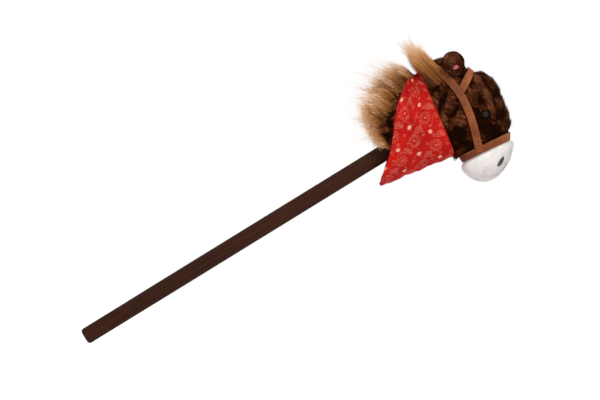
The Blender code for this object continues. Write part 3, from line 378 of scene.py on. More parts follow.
class Socket:
    """A value in a material that plain arithmetic builds on, one node for each step."""

    def __init__(self, tree: bpy.types.NodeTree, link: bpy.types.NodeSocket) -> None:
        """Keep the tree and the node socket that gives the value."""
        self.tree = tree
        self.link = link

    def math(self, operation: str, *others: "Socket | float") -> "Socket":
        """Put a Math node on this value and others.

        Args:
            operation: The node's operation.
            others: The other values.

        Returns:
            The result.
        """
        node = self.tree.nodes.new("ShaderNodeMath")
        node.operation = operation
        for slot, value in zip(node.inputs, (self, *others)):
            if isinstance(value, Socket):
                self.tree.links.new(value.link, slot)
            else:
                slot.default_value = value
        return Socket(self.tree, node.outputs[0])

    def __add__(self, other: "Socket | float") -> "Socket":
        """Add."""
        return self.math("ADD", other)

    def __sub__(self, other: "Socket | float") -> "Socket":
        """Subtract."""
        return self.math("SUBTRACT", other)

    def __mul__(self, other: "Socket | float") -> "Socket":
        """Multiply."""
        return self.math("MULTIPLY", other)

    def __truediv__(self, other: "Socket | float") -> "Socket":
        """Divide."""
        return self.math("DIVIDE", other)

    def within(self, middle: float, reach: float, soft: float) -> "Socket":
        """Return 1 near a value, falling to 0 past a reach with a soft edge."""
        off = (self - middle).math("ABSOLUTE")
        return ((off * -1.0 + (reach + soft)) / soft).math("MINIMUM", 1.0).math("MAXIMUM", 0.0)

    def below(self, limit: float, soft: float) -> "Socket":
        """Return 1 below a limit and 0 above it, with a soft edge."""
        return ((self * -1.0 + (limit + soft)) / soft).math("MINIMUM", 1.0).math("MAXIMUM", 0.0)


def shared_group(name: str, inputs: dict, build: Callable[..., None]) -> bpy.types.NodeTree:
    """Return a node group that several materials use, built at its first use.

    Args:
        name: The group's name.
        inputs: The kind of each input, such as Float or Vector, by its name.
        build: A function that fills the tree between its two end nodes.

    Returns:
        The group, which puts out one value.
    """
    tree = bpy.data.node_groups.get(name)
    if tree is None:
        tree = bpy.data.node_groups.new(name, "ShaderNodeTree")
        for word, kind in inputs.items():
            tree.interface.new_socket(word, in_out="INPUT", socket_type=f"NodeSocket{kind}")
        tree.interface.new_socket("Value", in_out="OUTPUT", socket_type="NodeSocketFloat")
        build(tree, tree.nodes.new("NodeGroupInput").outputs, tree.nodes.new("NodeGroupOutput").inputs)
    return tree


def build_grain(tree: bpy.types.NodeTree, given: Sockets, result: Sockets) -> None:
    """Fill the grain's group: noise on a place, stretched along the axes.

    Args:
        tree: The group.
        given: Its inputs.
        result: Its output.
    """
    spread = tree.nodes.new("ShaderNodeMapping")
    noise = tree.nodes.new("ShaderNodeTexNoise")
    tree.links.new(given["Vector"], spread.inputs["Vector"])
    tree.links.new(given["Stretch"], spread.inputs["Scale"])
    tree.links.new(spread.outputs[0], noise.inputs["Vector"])
    for word, slot in (("Scale", "Scale"), ("Detail", "Detail"), ("Warp", "Distortion")):
        tree.links.new(given[word], noise.inputs[slot])
    tree.links.new(noise.outputs["Fac"], result["Value"])


def build_strand_tone(tree: bpy.types.NodeTree, given: Sockets, result: Sockets) -> None:
    """Fill the group for the tone of a strand: its three values by their weights.

    Args:
        tree: The group.
        given: Its inputs.
        result: Its output.
    """
    weigh = tree.nodes.new("ShaderNodeVectorMath")
    weigh.operation = "DOT_PRODUCT"
    add = tree.nodes.new("ShaderNodeMath")
    tree.links.new(given["Strand"], weigh.inputs[0])
    tree.links.new(given["Weights"], weigh.inputs[1])
    tree.links.new(weigh.outputs["Value"], add.inputs[0])
    tree.links.new(given["Base"], add.inputs[1])
    tree.links.new(add.outputs[0], result["Value"])


GRAIN_INPUTS = {"Vector": "Vector", "Stretch": "Vector", "Scale": "Float", "Detail": "Float", "Warp": "Float"}
TONE_INPUTS = {"Strand": "Vector", "Weights": "Vector", "Base": "Float"}


class Material:
    """One node material under construction, with a Principled shader."""

    def __init__(
        self, name: str, roughness: float, sheen: float = 0.0, specular: float = 0.5, metallic: float = 0.0,
        slot: Slot | None = None,
    ) -> None:
        """Start the material.

        Args:
            name: The material's name.
            roughness: The plain roughness.
            sheen: The weight of the cloth sheen.
            specular: The shader's specular level.
            metallic: How much of a metal it is.
            slot: Kept as the material's slot; not used.
        """
        self.data = bpy.data.materials.new(name)
        self.data.use_nodes = True
        self.slot = slot
        self.tree = self.data.node_tree
        self.shader = self.tree.nodes["Principled BSDF"]
        self.fill(self.shader, {
            "Roughness": roughness, "Metallic": metallic, "Specular IOR Level": specular,
            "Sheen Weight": sheen, "Sheen Roughness": 0.45,
        })

    def node(self, kind: str, inputs: dict | None = None, **settings: object) -> bpy.types.Node:
        """Add a node.

        Args:
            kind: The node's type name.
            inputs: Values or sockets for its inputs, by name or number.
            settings: The node's own properties.

        Returns:
            The node.
        """
        made = self.tree.nodes.new(kind)
        for name, value in settings.items():
            setattr(made, name, value)
        self.fill(made, inputs or {})
        return made

    def fill(self, made: bpy.types.Node, inputs: dict) -> None:
        """Set or link a node's inputs.

        Args:
            made: The node.
            inputs: Values, linear colours or sockets, by the inputs' names or numbers.
        """
        for name, value in inputs.items():
            slot = made.inputs[name]
            if isinstance(value, Socket):
                value = value.link
            if isinstance(value, bpy.types.NodeSocket):
                self.tree.links.new(value, slot)
            else:
                slot.default_value = (*value, 1.0) if slot.type == "RGBA" else value

    def noise(
        self, scale: float, detail: float = 3.0, stretch: tuple = (1, 1, 1), distortion: float = 0.0
    ) -> Socket:
        """Put the shared grain on the piece's own coordinates.

        Args:
            scale: How fine it is.
            detail: How many finer layers it has.
            stretch: The factor along each axis.
            distortion: How far it is warped.

        Returns:
            The grain, about 0 to 1.
        """
        place = self.node("ShaderNodeTexCoord").outputs["Object"]
        inputs = {"Vector": place, "Stretch": stretch, "Scale": scale, "Detail": detail, "Warp": distortion}
        group = shared_group("grain", GRAIN_INPUTS, build_grain)
        return Socket(self.tree, self.node("ShaderNodeGroup", inputs, node_tree=group).outputs[0])

    def strand_tone(self, way: float, chance: float, shade: float, base: float) -> Socket:
        """Return a strand's shared tone from its way to the tip, its chance and its lock's shade.

        Args:
            way: How much the way from root to tip counts.
            chance: How much the strand's random number counts.
            shade: How much the lock's shade counts, which on the plush pile holds painted shade and painted
                highlight too.
            base: What is added.

        Returns:
            The tone, about 0 to 1.
        """
        read = self.node("ShaderNodeAttribute", attribute_name="strand")
        inputs = {"Strand": read.outputs["Vector"], "Weights": (chance, way, shade), "Base": base}
        group = shared_group("strand_tone", TONE_INPUTS, build_strand_tone)
        return Socket(self.tree, self.node("ShaderNodeGroup", inputs, node_tree=group).outputs[0])

    def parts(self, vector: bpy.types.NodeSocket) -> list[Socket]:
        """Return the three parts of a vector."""
        made = self.node("ShaderNodeSeparateXYZ", {0: vector})
        return [Socket(self.tree, part) for part in made.outputs]

    def side_view(self) -> tuple[Socket, Socket]:
        """Return how far forward and how far up a place is."""
        x, _, z = self.parts(self.node("ShaderNodeTexCoord").outputs["Object"])
        return x, z

    def plane(self) -> tuple[Socket, Socket]:
        """Return the two lengths of the piece's own flat pattern, in metres."""
        u, v, _ = self.parts(self.node("ShaderNodeUVMap", uv_map="flat").outputs[0])
        return u, v

    def ramp(self, value: Socket, *stops: tuple) -> bpy.types.NodeSocket:
        """Return a colour ramp's colour for a value.

        Args:
            value: The value that the ramp reads.
            stops: Pairs of a place and a linear colour.

        Returns:
            The colour's socket.
        """
        made = self.node("ShaderNodeValToRGB", {0: value})
        while len(made.color_ramp.elements) < len(stops):
            made.color_ramp.elements.new(0.5)
        for element, (place, colour) in zip(made.color_ramp.elements, stops):
            element.position = place
            element.color = (*colour, 1.0)
        return made.outputs[0]

    def mix(self, share: Socket, first: bpy.types.NodeSocket, second: tuple) -> bpy.types.NodeSocket:
        """Return a colour with a share of another one mixed into it."""
        return self.node("ShaderNodeMix", {0: share, 6: first, 7: second}, data_type="RGBA").outputs[2]

    def colour(self, source: "tuple | bpy.types.NodeSocket") -> None:
        """Set or link the base colour."""
        self.fill(self.shader, {"Base Color": source})

    def rough(self, value: Socket) -> None:
        """Link the roughness."""
        self.fill(self.shader, {"Roughness": value})

    def bump(self, height: Socket, depth: float, strength: float = 1.0) -> None:
        """Raise the surface by a pattern of up to a depth in metres."""
        made = self.node("ShaderNodeBump", {"Height": height, "Strength": strength, "Distance": depth})
        self.fill(self.shader, {"Normal": made.outputs[0]})


@dataclass(frozen=True)
class Finish:
    """A plain finish: a colour between a dark and a light tone, mottled by a fine grain.

    The grain is given as Material.noise takes it and the relief as Material.bump takes it. The gloss
    is how much the grain adds to the roughness, and to what.
    """

    name: str
    roughness: float
    grain: tuple
    dark: tuple
    light: tuple
    ends: tuple = (0.3, 0.7)
    relief: tuple = ()
    gloss: tuple = ()
    sheen: float = 0.0
    specular: float = 0.5
    metallic: float = 0.0
    slot: Slot | None = None

    def mix(self) -> Material:
        """Mix the finish.

        Returns:
            Its material.
        """
        look = Material(self.name, self.roughness, self.sheen, self.specular, self.metallic, self.slot)
        cloud = look.noise(*self.grain)
        look.colour(look.ramp(cloud, *zip(self.ends, (self.dark, self.light))))
        if self.gloss:
            look.rough(cloud * self.gloss[0] + self.gloss[1])
        if self.relief:
            look.bump(cloud, *self.relief)
        return look


BROWN_BACK = Finish(
    "brown_plush_back", 0.95, (120.0,), (0.005, 0.001, 0.0003), (0.014, 0.0034, 0.0010),
    specular=0.02, slot=Slot.BROWN,
)
WHITE_BACK = Finish(
    "white_plush_back", 0.95, (150.0,), (0.72, 0.68, 0.67), (0.82, 0.785, 0.77), sheen=0.2, slot=Slot.WHITE
)
FIBRE = Finish(
    "fibre_filling", 0.95, (900.0, 6.0, (1, 1, 1), 1.5), (0.62, 0.62, 0.60), (0.86, 0.86, 0.84),
    relief=(0.0006,), sheen=0.4, slot=Slot.FILLING,
)
THREAD = Finish(
    "grey_thread", 0.55, (520.0, 2.0, (1.0, 1.0, 6.0)), (0.006, 0.006, 0.007), (0.032, 0.032, 0.034),
    ends=(0.35, 0.7), relief=(0.0004,), sheen=0.2, slot=Slot.THREAD,
)
PINK_FELT = Finish(
    "pink_felt", 0.9, (900.0, 4.0), (0.40, 0.055, 0.10), (0.62, 0.14, 0.19),
    relief=(0.0004,), sheen=0.5, slot=Slot.PATCH,
)
EYE = Finish("eye_black", 0.18, (200.0,), (0.003, 0.003, 0.0035), (0.006, 0.0055, 0.005), specular=0.16)
PALE_PLASTIC = Finish(
    "pale_plastic", 0.45, (300.0,), (0.66, 0.66, 0.63), (0.74, 0.74, 0.71), relief=(0.0001, 0.4)
)
LINING = Finish(
    "pocket_lining", 0.9, (700.0,), (0.07, 0.035, 0.025), (0.13, 0.07, 0.05), relief=(0.0002,), sheen=0.2
)
RED_PLASTIC = Finish("red_plastic", 0.4, (300.0,), (0.52, 0.015, 0.015), (0.64, 0.024, 0.022))
BOARD = Finish("green_board", 0.5, (900.0, 1.0), (0.035, 0.17, 0.06), (0.06, 0.26, 0.10), ends=(0.4, 0.6))
STEEL = Finish(
    "bare_steel", 0.3, (500.0,), (0.52, 0.52, 0.52), (0.64, 0.64, 0.64),
    gloss=(0.2, 0.2), metallic=1.0, slot=Slot.STEEL,
)
BRASS = Finish("brass", 0.35, (400.0,), (0.68, 0.48, 0.20), (0.80, 0.60, 0.30), metallic=1.0)


@dataclass(frozen=True)
class StrandFinish:
    """The finish of pile or hair, coloured by each strand's tone.

    The weights are given as Material.strand_tone takes them, the stops as Material.ramp takes them.
    """

    name: str
    roughness: float
    slot: Slot
    weights: tuple
    stops: tuple
    sheen: float = 0.0
    specular: float = 0.5

    def mix(self) -> Material:
        """Mix the finish.

        Returns:
            Its material.
        """
        look = Material(self.name, self.roughness, self.sheen, self.specular, slot=self.slot)
        look.colour(look.ramp(look.strand_tone(*self.weights), *self.stops))
        return look


BROWN_PILE = StrandFinish(
    "brown_plush_pile", 0.8, Slot.BROWN, (0.30, 0.20, 0.66, -0.12),
    (
        (0.05, (0.0060, 0.0011, 0.0003)), (0.38, (0.040, 0.0078, 0.0018)),
        (0.66, (0.104, 0.027, 0.0085)), (0.95, (0.230, 0.084, 0.038)),
    ),
    specular=0.02,
)
WHITE_PILE = StrandFinish(
    "white_plush_pile", 0.8, Slot.WHITE, (0.5, 0.2, 0.3, 0.0),
    ((0.0, (0.72, 0.665, 0.635)), (0.45, (0.825, 0.765, 0.725)), (1.0, (0.90, 0.85, 0.81))),
    sheen=0.2, specular=0.3,
)
CARAMEL_HAIR = StrandFinish(
    "caramel_hair", 0.55, Slot.HAIR, (0.74, 0.20, 0.40, -0.20),
    (
        (0.02, (0.085, 0.023, 0.004)), (0.30, (0.33, 0.108, 0.020)),
        (0.60, (0.72, 0.345, 0.115)), (1.0, (0.92, 0.77, 0.60)),
    ),
    specular=0.12,
)


@dataclass(frozen=True)
class StainedWood:
    """The stick's dark stained wood, its grain drawn out along the stick."""

    grain: tuple = (260.0, 5.0, (1.0, 1.0, 0.06), 0.4)
    cloud: tuple = (14.0, 2.0, (1.0, 1.0, 0.5))
    stops: tuple = (
        (0.32, (0.0200, 0.0058, 0.0026)), (0.52, (0.0350, 0.0108, 0.0052)), (0.72, (0.054, 0.0180, 0.0095)),
    )

    def mix(self) -> Material:
        """Mix the finish.

        Returns:
            Its material.
        """
        look = Material("dark_stained_wood", 0.7, specular=0.08)
        grain, cloud = look.noise(*self.grain), look.noise(*self.cloud)
        look.colour(look.ramp(grain * 0.6 + cloud * 0.4, *self.stops))
        look.rough(grain * 0.25 + 0.6)
        look.bump(grain, 0.0002, 0.6)
        return look


@dataclass(frozen=True)
class StitchedFelt:
    """The straps' brushed felt with a row of stitches along each edge, crossed behind the joint.

    Attributes:
        width: A strap's width.
        joint: Where the straps meet, forward and up in the head.
        inset: How far the rows are from the edges.
        stitch: The length of a stitch with its gap.
        crossing: How close the crossed stitches lie.
        patch: The crossed patch: its middle behind the joint, its reach and its soft edge.
        patch_top: Its height above the joint, and its soft edge.
        painted_top_light: Painted light, the felt lighter higher up the head: heights above which it
            lightens, and how fast: all of it, and more of it higher up.
    """

    width: float
    joint: tuple
    inset: float = 0.0013
    stitch: float = 0.0026
    crossing: float = 740.0
    patch: tuple = (-0.0180, 0.0160, 0.0030)
    patch_top: tuple = (0.0075, 0.0020)
    painted_top_light: tuple = ((0.646, 2.6), (0.657, 6.0))

    def rows(self, across: Socket, reach: float, soft: float) -> Socket:
        """Return 1 along both rows of stitches, to a reach from their lines."""
        near, far = (across.within(place, reach, soft) for place in (self.inset, self.width - self.inset))
        return near.math("MAXIMUM", far)

    def mix(self) -> Material:
        """Mix the finish.

        Returns:
            Its material.
        """
        look = Material("tan_felt", 0.9, specular=0.1, slot=Slot.FELT)
        u, v = look.plane()
        x, z = look.side_view()
        nap, cloud, fibre = look.noise(420.0, 4.0), look.noise(60.0, 2.0), look.noise(1500.0, 2.0)
        tone = nap * 0.45 + cloud * 0.45 + fibre * 0.15
        # Painted light: the felt grows lighter up the head and darker below, as light from above would make
        # it.
        (all_over, fast), (high, faster) = self.painted_top_light
        tone = tone + (z - all_over) * fast + (z - high).math("MAXIMUM", 0.0) * faster
        felt = look.ramp(
            tone, (0.32, (0.100, 0.025, 0.009)), (0.52, (0.190, 0.053, 0.020)), (0.72, (0.33, 0.105, 0.044))
        )
        dash = (u / self.stitch).math("FRACT").within(0.45, 0.30, 0.08)
        stitch = self.rows(v, 0.00022, 0.00012) * dash
        groove = self.rows(v, 0.0004, 0.0004)
        (behind, reach, soft), (above, top_soft) = self.patch, self.patch_top
        patch = x.within(self.joint[0] + behind, reach, soft)
        patch = patch * z.below(NECK_EDGE + self.joint[1] + above, top_soft)
        rising, falling = (
            (way * self.crossing).math("SINE").within(0.0, 0.20, 0.24) for way in (x + z, x - z)
        )
        cross = rising.math("MAXIMUM", falling) * patch
        felt = look.mix(cross * 0.7, felt, (0.085, 0.024, 0.009))
        look.colour(look.mix(stitch * 0.8, felt, (0.38, 0.145, 0.065)))
        look.bump(nap * 0.5 + fibre * 0.35 + stitch * 0.8 - groove * 0.6 - cross * 0.7, 0.0005, 0.8)
        return look


def radius_of(x: Socket, y: Socket) -> Socket:
    """Return the distance from the middle."""
    return (x * x + y * y).math("SQRT")


@dataclass(frozen=True)
class PrintedCotton:
    """The bandana's red cotton with its print, laid out in cells of a brick pattern.

    Attributes:
        large: The size of the large figures' cells.
        small: The size of the small flowers' cells.
        finest: The size of the specks' cells.
        soft: The soft edge of a printed line.
        weave: How close the threads lie.
    """

    large: tuple = (0.046, 0.028)
    small: tuple = (0.0155, 0.014)
    finest: tuple = (0.0052, 0.0046)
    soft: float = 0.0003
    weave: float = 8200.0

    def cell(self, plane: tuple[Socket, Socket], size: tuple, shift: tuple) -> tuple[Socket, Socket]:
        """Measure from the middle of each cell of a brick pattern.

        Args:
            plane: The cloth's two lengths.
            size: A cell's two sizes.
            shift: How far the pattern is moved along each length.

        Returns:
            The two lengths from the cell's middle.
        """
        row = (plane[1] + shift[1]) / size[1]
        odd = (row.math("FLOOR") * 0.5).math("FRACT") * size[0]
        column = (plane[0] + shift[0] + odd) / size[0]
        return (column.math("FRACT") - 0.5) * size[0], (row.math("FRACT") - 0.5) * size[1]

    def rosettes(self, plane: tuple[Socket, Socket]) -> Socket:
        """Draw the rosettes: eight petals round a dot, in a ring of twelve beads.

        Args:
            plane: The cloth's two lengths.

        Returns:
            1 on a line and 0 off it.
        """
        x, y = self.cell(plane, self.large, (0.031, 0.020))
        reach, turn = radius_of(x, y), y.math("ARCTAN2", x)
        petals = (reach - (turn * 8.0).math("COSINE") * 0.0012).within(0.0062, 0.00020, self.soft)
        beads = (turn * 12.0).math("COSINE").math("GREATER_THAN", 0.1)
        ring = reach.within(0.0088, 0.00035, self.soft) * beads
        return petals.math("MAXIMUM", ring).math("MAXIMUM", reach.below(0.0014, 0.0004))

    def teardrops(self, plane: tuple[Socket, Socket]) -> Socket:
        """Draw the teardrops: two bent drops, one in the other, round a dot.

        Args:
            plane: The cloth's two lengths.

        Returns:
            1 on a line and 0 off it.
        """
        x, y = self.cell(plane, self.large, (0.020, 0.006))
        lean, rise = x * 0.8 + y * 0.6, y * 0.8 - x * 0.6
        narrow = (rise * -60.0 + 1.0).math("MAXIMUM", 0.6)
        drop = radius_of((lean - rise * rise * 55.0) * narrow * 1.5, rise)
        outer, inner = drop.within(0.0064, 0.00020, self.soft), drop.within(0.0042, 0.00018, self.soft)
        return outer.math("MAXIMUM", inner).math("MAXIMUM", drop.below(0.0016, 0.0005))

    def small_print(self, plane: tuple[Socket, Socket], busy: Socket) -> Socket:
        """Draw the five-leaved flowers, the specks and the vines between the large figures.

        Args:
            plane: The cloth's two lengths.
            busy: A cloud that says where vines grow.

        Returns:
            1 on a line and 0 off it, less on specks and vines.
        """
        x, y = self.cell(plane, self.small, (0.004, 0.002))
        reach, turn = radius_of(x, y), y.math("ARCTAN2", x)
        flower = (reach - (turn * 5.0).math("COSINE") * 0.0006).within(0.0016, 0.00012, self.soft)
        speck = radius_of(*self.cell(plane, self.finest, (0.0, 0.001))).below(0.00030, self.soft) * 0.30
        wave = (plane[1] * 260.0).math("SINE") * 1.4
        vine = (plane[0] * 210.0 + wave).math("SINE").within(0.0, 0.05, 0.10)
        vine = vine * busy.math("GREATER_THAN", 0.52) * 0.5
        return flower.math("MAXIMUM", speck).math("MAXIMUM", vine)

    def mix(self) -> Material:
        """Mix the finish.

        Returns:
            Its material.
        """
        look = Material("printed_cotton", 0.88, specular=0.12, slot=Slot.COTTON)
        plane = look.plane()
        dots = radius_of(*self.cell(plane, self.large, (0.008, 0.020))).below(0.0028, 0.0006)
        figures = self.rosettes(plane).math("MAXIMUM", self.teardrops(plane)) * 0.40
        fine = self.small_print(plane, look.noise(55.0, 1.0)) * 0.48
        ink = figures.math("MAXIMUM", fine).math("MAXIMUM", dots)
        worn = look.noise(900.0, 2.0) * 0.35 + 0.75
        wash = look.noise(24.0, 2.0)
        red = look.ramp(wash, (0.35, (0.370, 0.0040, 0.0025)), (0.65, (0.480, 0.0070, 0.0042)))
        look.colour(look.mix(ink * worn, red, (0.80, 0.36, 0.25)))
        warp, weft = ((way * self.weave).math("SINE") for way in plane)
        hem = plane[1].within(0.0, 0.0035, 0.0004)
        look.bump(warp * weft * 0.15 + look.noise(300.0, 3.0) * 0.5 + hem * 0.5, 0.0004, 0.5)
        return look


def select_only(thing: bpy.types.Object) -> None:
    """Deselect everything, then select one object and make it the active one.

    Args:
        thing: The object.
    """
    bpy.ops.object.select_all(action="DESELECT")
    thing.select_set(True)
    bpy.context.view_layer.objects.active = thing


def apply_modifier(thing: bpy.types.Object, kind: str, **settings: object) -> None:
    """Add a modifier to an object and apply it at once.

    Args:
        thing: The object.
        kind: The modifier's type.
        settings: The modifier's own properties.
    """
    select_only(thing)
    made = thing.modifiers.new(kind.title(), kind)
    for name, value in settings.items():
        setattr(made, name, value)
    bpy.ops.object.modifier_apply(modifier=made.name)


def rows_of(source: Sockets, name: str) -> Points:
    """Read a property of three numbers from every item of a mesh.

    Args:
        source: The mesh's items.
        name: The property's name.

    Returns:
        One row for each item.
    """
    flat = np.empty(len(source) * 3)
    source.foreach_get(name, flat)
    return flat.reshape(-1, 3)


def vertices_of(thing: bpy.types.Object) -> Points:
    """Return an object's vertices, one row each."""
    return rows_of(thing.data.vertices, "co")


def normals_of(thing: bpy.types.Object) -> Points:
    """Return the directions in which an object's vertices face, one row each."""
    return rows_of(thing.data.vertex_normals, "vector")


def move_vertices(thing: bpy.types.Object, points: Points) -> None:
    """Put an object's vertices at new places."""
    thing.data.vertices.foreach_set("co", np.ascontiguousarray(points, dtype=float).ravel())
    thing.data.update()


def merge(thing: bpy.types.Object, distance: float = 1e-5) -> None:
    """Merge an object's vertices and turn its faces outwards.

    Args:
        thing: The object.
        distance: How close merged vertices lie.
    """
    select_only(thing)
    bpy.ops.object.mode_set(mode="EDIT")
    bpy.ops.mesh.select_all(action="SELECT")
    bpy.ops.mesh.remove_doubles(threshold=distance)
    bpy.ops.mesh.normals_make_consistent(inside=False)
    bpy.ops.object.mode_set(mode="OBJECT")


def copy_of(solid: bpy.types.Object, name: str) -> bpy.types.Object:
    """Copy a solid of the frame, with its own merged mesh.

    Args:
        solid: The frame's node.
        name: The copy's name.

    Returns:
        The copy.
    """
    thing = bpy.data.objects.new(name, solid.data.copy())
    bpy.context.scene.collection.objects.link(thing)
    merge(thing)
    return thing


def paint(thing: bpy.types.Object, look: Material) -> None:
    """Give an object one material."""
    thing.data.materials.clear()
    thing.data.materials.append(look.data)


def cloth_grid(name: str, points: Points, closed: bool = False) -> bpy.types.Object:
    """Lay a grid of cloth through rows of points, with its flat lengths as a UV map.

    Args:
        name: The piece's name.
        points: The points, by step along, step across and axis.
        closed: Whether the last row along is the first one again.

    Returns:
        The object.
    """
    along, across = points.shape[:2]
    bpy.ops.object.select_all(action="DESELECT")
    bpy.ops.mesh.primitive_grid_add(x_subdivisions=across - 1, y_subdivisions=along - 1, size=1.0)
    thing = bpy.context.active_object
    thing.name = name
    thing.data.name = name
    move_vertices(thing, points.reshape(-1, 3))
    run = np.concatenate([[0.0], np.cumsum(np.linalg.norm(np.diff(points[:, across // 2], axis=0), axis=1))])
    step = np.linalg.norm(np.diff(points, axis=1), axis=2)
    fall = np.concatenate([np.zeros((along, 1)), np.cumsum(step, axis=1)], axis=1)
    flat = np.stack([np.repeat(run[:, None], across, axis=1), fall], axis=-1).reshape(-1, 2)
    loops = np.empty(len(thing.data.loops), dtype=int)
    thing.data.loops.foreach_get("vertex_index", loops)
    while thing.data.uv_layers:
        thing.data.uv_layers.remove(thing.data.uv_layers[0])
    layer = thing.data.uv_layers.new(name="flat")
    layer.data.foreach_set("uv", flat[loops].ravel())
    if closed:
        merge(thing)
    return thing


def dress(thing: bpy.types.Object, look: Material, *replaces: str, body: str = "horse") -> None:
    """Give a piece its material and the body that it rides on.

    Args:
        thing: The piece.
        look: Its material.
        replaces: The frame's nodes that it stands for.
        body: The body that carries it.
    """
    paint(thing, look)
    select_only(thing)
    bpy.ops.object.shade_smooth()
    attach(thing, body)
    if replaces:
        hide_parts(*replaces)
    LOG.info("%s: %d triangles", thing.name, sum(len(p.vertices) - 2 for p in thing.data.polygons))


@dataclass
class Surface:
    """The triangles of a mesh, ready for strands to be rooted in them."""

    corners: Points
    normals: Points
    areas: Points

    @classmethod
    def of(cls, thing: bpy.types.Object) -> "Surface":
        """Read an object's triangles.

        Args:
            thing: The object.

        Returns:
            The surface.
        """
        mesh = thing.data
        mesh.calc_loop_triangles()
        index = np.empty(len(mesh.loop_triangles) * 3, dtype=int)
        mesh.loop_triangles.foreach_get("vertices", index)
        corners = vertices_of(thing)[index.reshape(-1, 3)]
        cross = np.cross(corners[:, 1] - corners[:, 0], corners[:, 2] - corners[:, 0])
        return cls(corners, unit(cross), np.linalg.norm(cross, axis=1) / 2)

    def scatter(self, count: int, rng: np.random.Generator) -> tuple[Points, Points]:
        """Scatter random points evenly.

        Args:
            count: How many.
            rng: The seeded source.

        Returns:
            The points and the normals there.
        """
        chosen = rng.choice(len(self.areas), count, p=self.areas / self.areas.sum())
        a, b = rng.random((2, count, 1))
        fold = a + b > 1
        a, b = np.where(fold, 1 - a, a), np.where(fold, 1 - b, b)
        corner = self.corners[chosen]
        points = corner[:, 0] * (1 - a - b) + corner[:, 1] * a + corner[:, 2] * b
        return points, self.normals[chosen]


def one_strand(segments: int) -> tuple[Points, Points, list]:
    """Model one flat strand that tapers to its tip.

    Args:
        segments: How many steps it has from root to tip.

    Returns:
        For each vertex its side (-1 to 1), its way from root to tip, and the faces.
    """
    bpy.ops.object.select_all(action="DESELECT")
    bpy.ops.mesh.primitive_grid_add(x_subdivisions=1, y_subdivisions=segments, size=2.0)
    strand = bpy.context.active_object
    points = vertices_of(strand)
    way = (points[:, 1] + 1) / 2
    tip = way > 0.999
    points[tip, 0] = 0.0
    move_vertices(strand, points)
    merge(strand, 1e-4)
    points = vertices_of(strand)
    faces = [tuple(p.vertices) for p in strand.data.polygons]
    bpy.data.objects.remove(strand, do_unlink=True)
    return points[:, 0], (points[:, 1] + 1) / 2, faces


def repeated_mesh(name: str, points: Points, faces: list) -> bpy.types.Mesh:
    """Build one mesh of many copies of a small one.

    Args:
        name: The mesh's name.
        points: The vertices, by copy, vertex and axis.
        faces: The faces of one copy.

    Returns:
        The mesh.
    """
    count, size = points.shape[:2]
    corners = np.concatenate([np.array(face) for face in faces])
    totals = np.tile([len(face) for face in faces], count)
    loops = (np.arange(count)[:, None] * size + corners).reshape(-1)
    mesh = bpy.data.meshes.new(name)
    mesh.vertices.add(count * size)
    mesh.vertices.foreach_set("co", points.reshape(-1))
    mesh.loops.add(len(loops))
    mesh.loops.foreach_set("vertex_index", loops)
    mesh.polygons.add(len(totals))
    mesh.polygons.foreach_set("loop_start", np.concatenate([[0], np.cumsum(totals)[:-1]]))
    mesh.polygons.foreach_set("loop_total", totals)
    mesh.update(calc_edges=True)
    return mesh


def strand_mesh(
    name: str, lines: Points, faces_to: Points, width: Points, chance: Points, shade: Points
) -> bpy.types.Object:
    """Copy one strand along many lines, as one mesh.

    Args:
        name: The piece's name.
        lines: The lines, by strand, step and axis.
        faces_to: The direction that each strand's flat side faces.
        width: Each strand's width at its root.
        chance: A random number for each strand.
        shade: Its lock's shade, which on the plush pile holds painted shade and painted highlight too.

    Returns:
        The object.
    """
    last = lines.shape[1] - 1
    side, way, faces = one_strand(last)
    at = np.clip(np.rint(way * last).astype(int), 0, last)
    across = unit(np.cross(np.gradient(lines, axis=1), faces_to[:, None, :]))
    taper = np.clip(1.0 - way ** 2.2, 0.0, 1.0) ** 0.7
    offset = (side * taper / 2)[None, :, None] * width[:, None, None] * across[:, at]
    mesh = repeated_mesh(name, lines[:, at] + offset, faces)
    values = np.stack(np.broadcast_arrays(chance[:, None], way[None, :], shade[:, None]), axis=-1)
    mesh.attributes.new("strand", "FLOAT_VECTOR", "POINT").data.foreach_set("vector", values.reshape(-1))
    mesh.validate()
    thing = bpy.data.objects.new(name, mesh)
    bpy.context.scene.collection.objects.link(thing)
    return thing


class Neighbours:
    """The frame's solids that keep pile from growing under them or through them."""

    def __init__(self, nodes: dict) -> None:
        """Build one search tree of the solids except the mane.

        Args:
            nodes: The solids by name.
        """
        points, faces = [], []
        for name, thing in nodes.items():
            if name.startswith("mane"):
                continue
            base = len(points)
            points += [tuple(v.co) for v in thing.data.vertices]
            faces += [tuple(base + i for i in p.vertices) for p in thing.data.polygons]
        self.tree = BVHTree.FromPolygons(points, faces)

    def wall_ahead(self, points: Points, ways: Points, reach: float = 0.0026, gap: float = 0.0007) -> Points:
        """Return how far points inside a solid are from its wall, where another solid faces that wall.

        Args:
            points: The points, just inside their own solid.
            ways: The outward directions there.
            reach: How far away the wall may be.
            gap: How far behind the wall the other solid may be.

        Returns:
            The distances, 0 where nothing faces the wall.
        """
        found = np.zeros(len(points))
        for i, (point, way) in enumerate(zip(points, ways)):
            way = Vector(way)
            place, normal, _, distance = self.tree.ray_cast(Vector(point), way, reach)
            if place is None or normal.dot(way) < 0:
                continue
            beyond = self.tree.ray_cast(place + way * 1e-5, way, gap)
            if beyond[0] is not None and beyond[1].dot(way) < 0:
                found[i] = distance
        return found

    def room(self, points: Points, ways: Points, reach: float) -> Points:
        """Measure how far each point is from the first solid.

        Args:
            points: The points.
            ways: The directions to look in.
            reach: How far to look.

        Returns:
            The distances, the reach where nothing is hit.
        """
        found = np.full(len(points), reach)
        for i, (point, way) in enumerate(zip(points, ways)):
            hit = self.tree.ray_cast(Vector(point), Vector(way), reach)
            if hit[3] is not None:
                found[i] = hit[3]
        return found


@dataclass(frozen=True)
class Pile:
    """The pile of one plush cover."""

    count: int
    length: float
    width: float
    stand: float
    clump_size: float = 0.0034
    clump: float = 0.55
    tint: float = 0.0
    chin: float = 0.0
    cover_room: float = 0.006


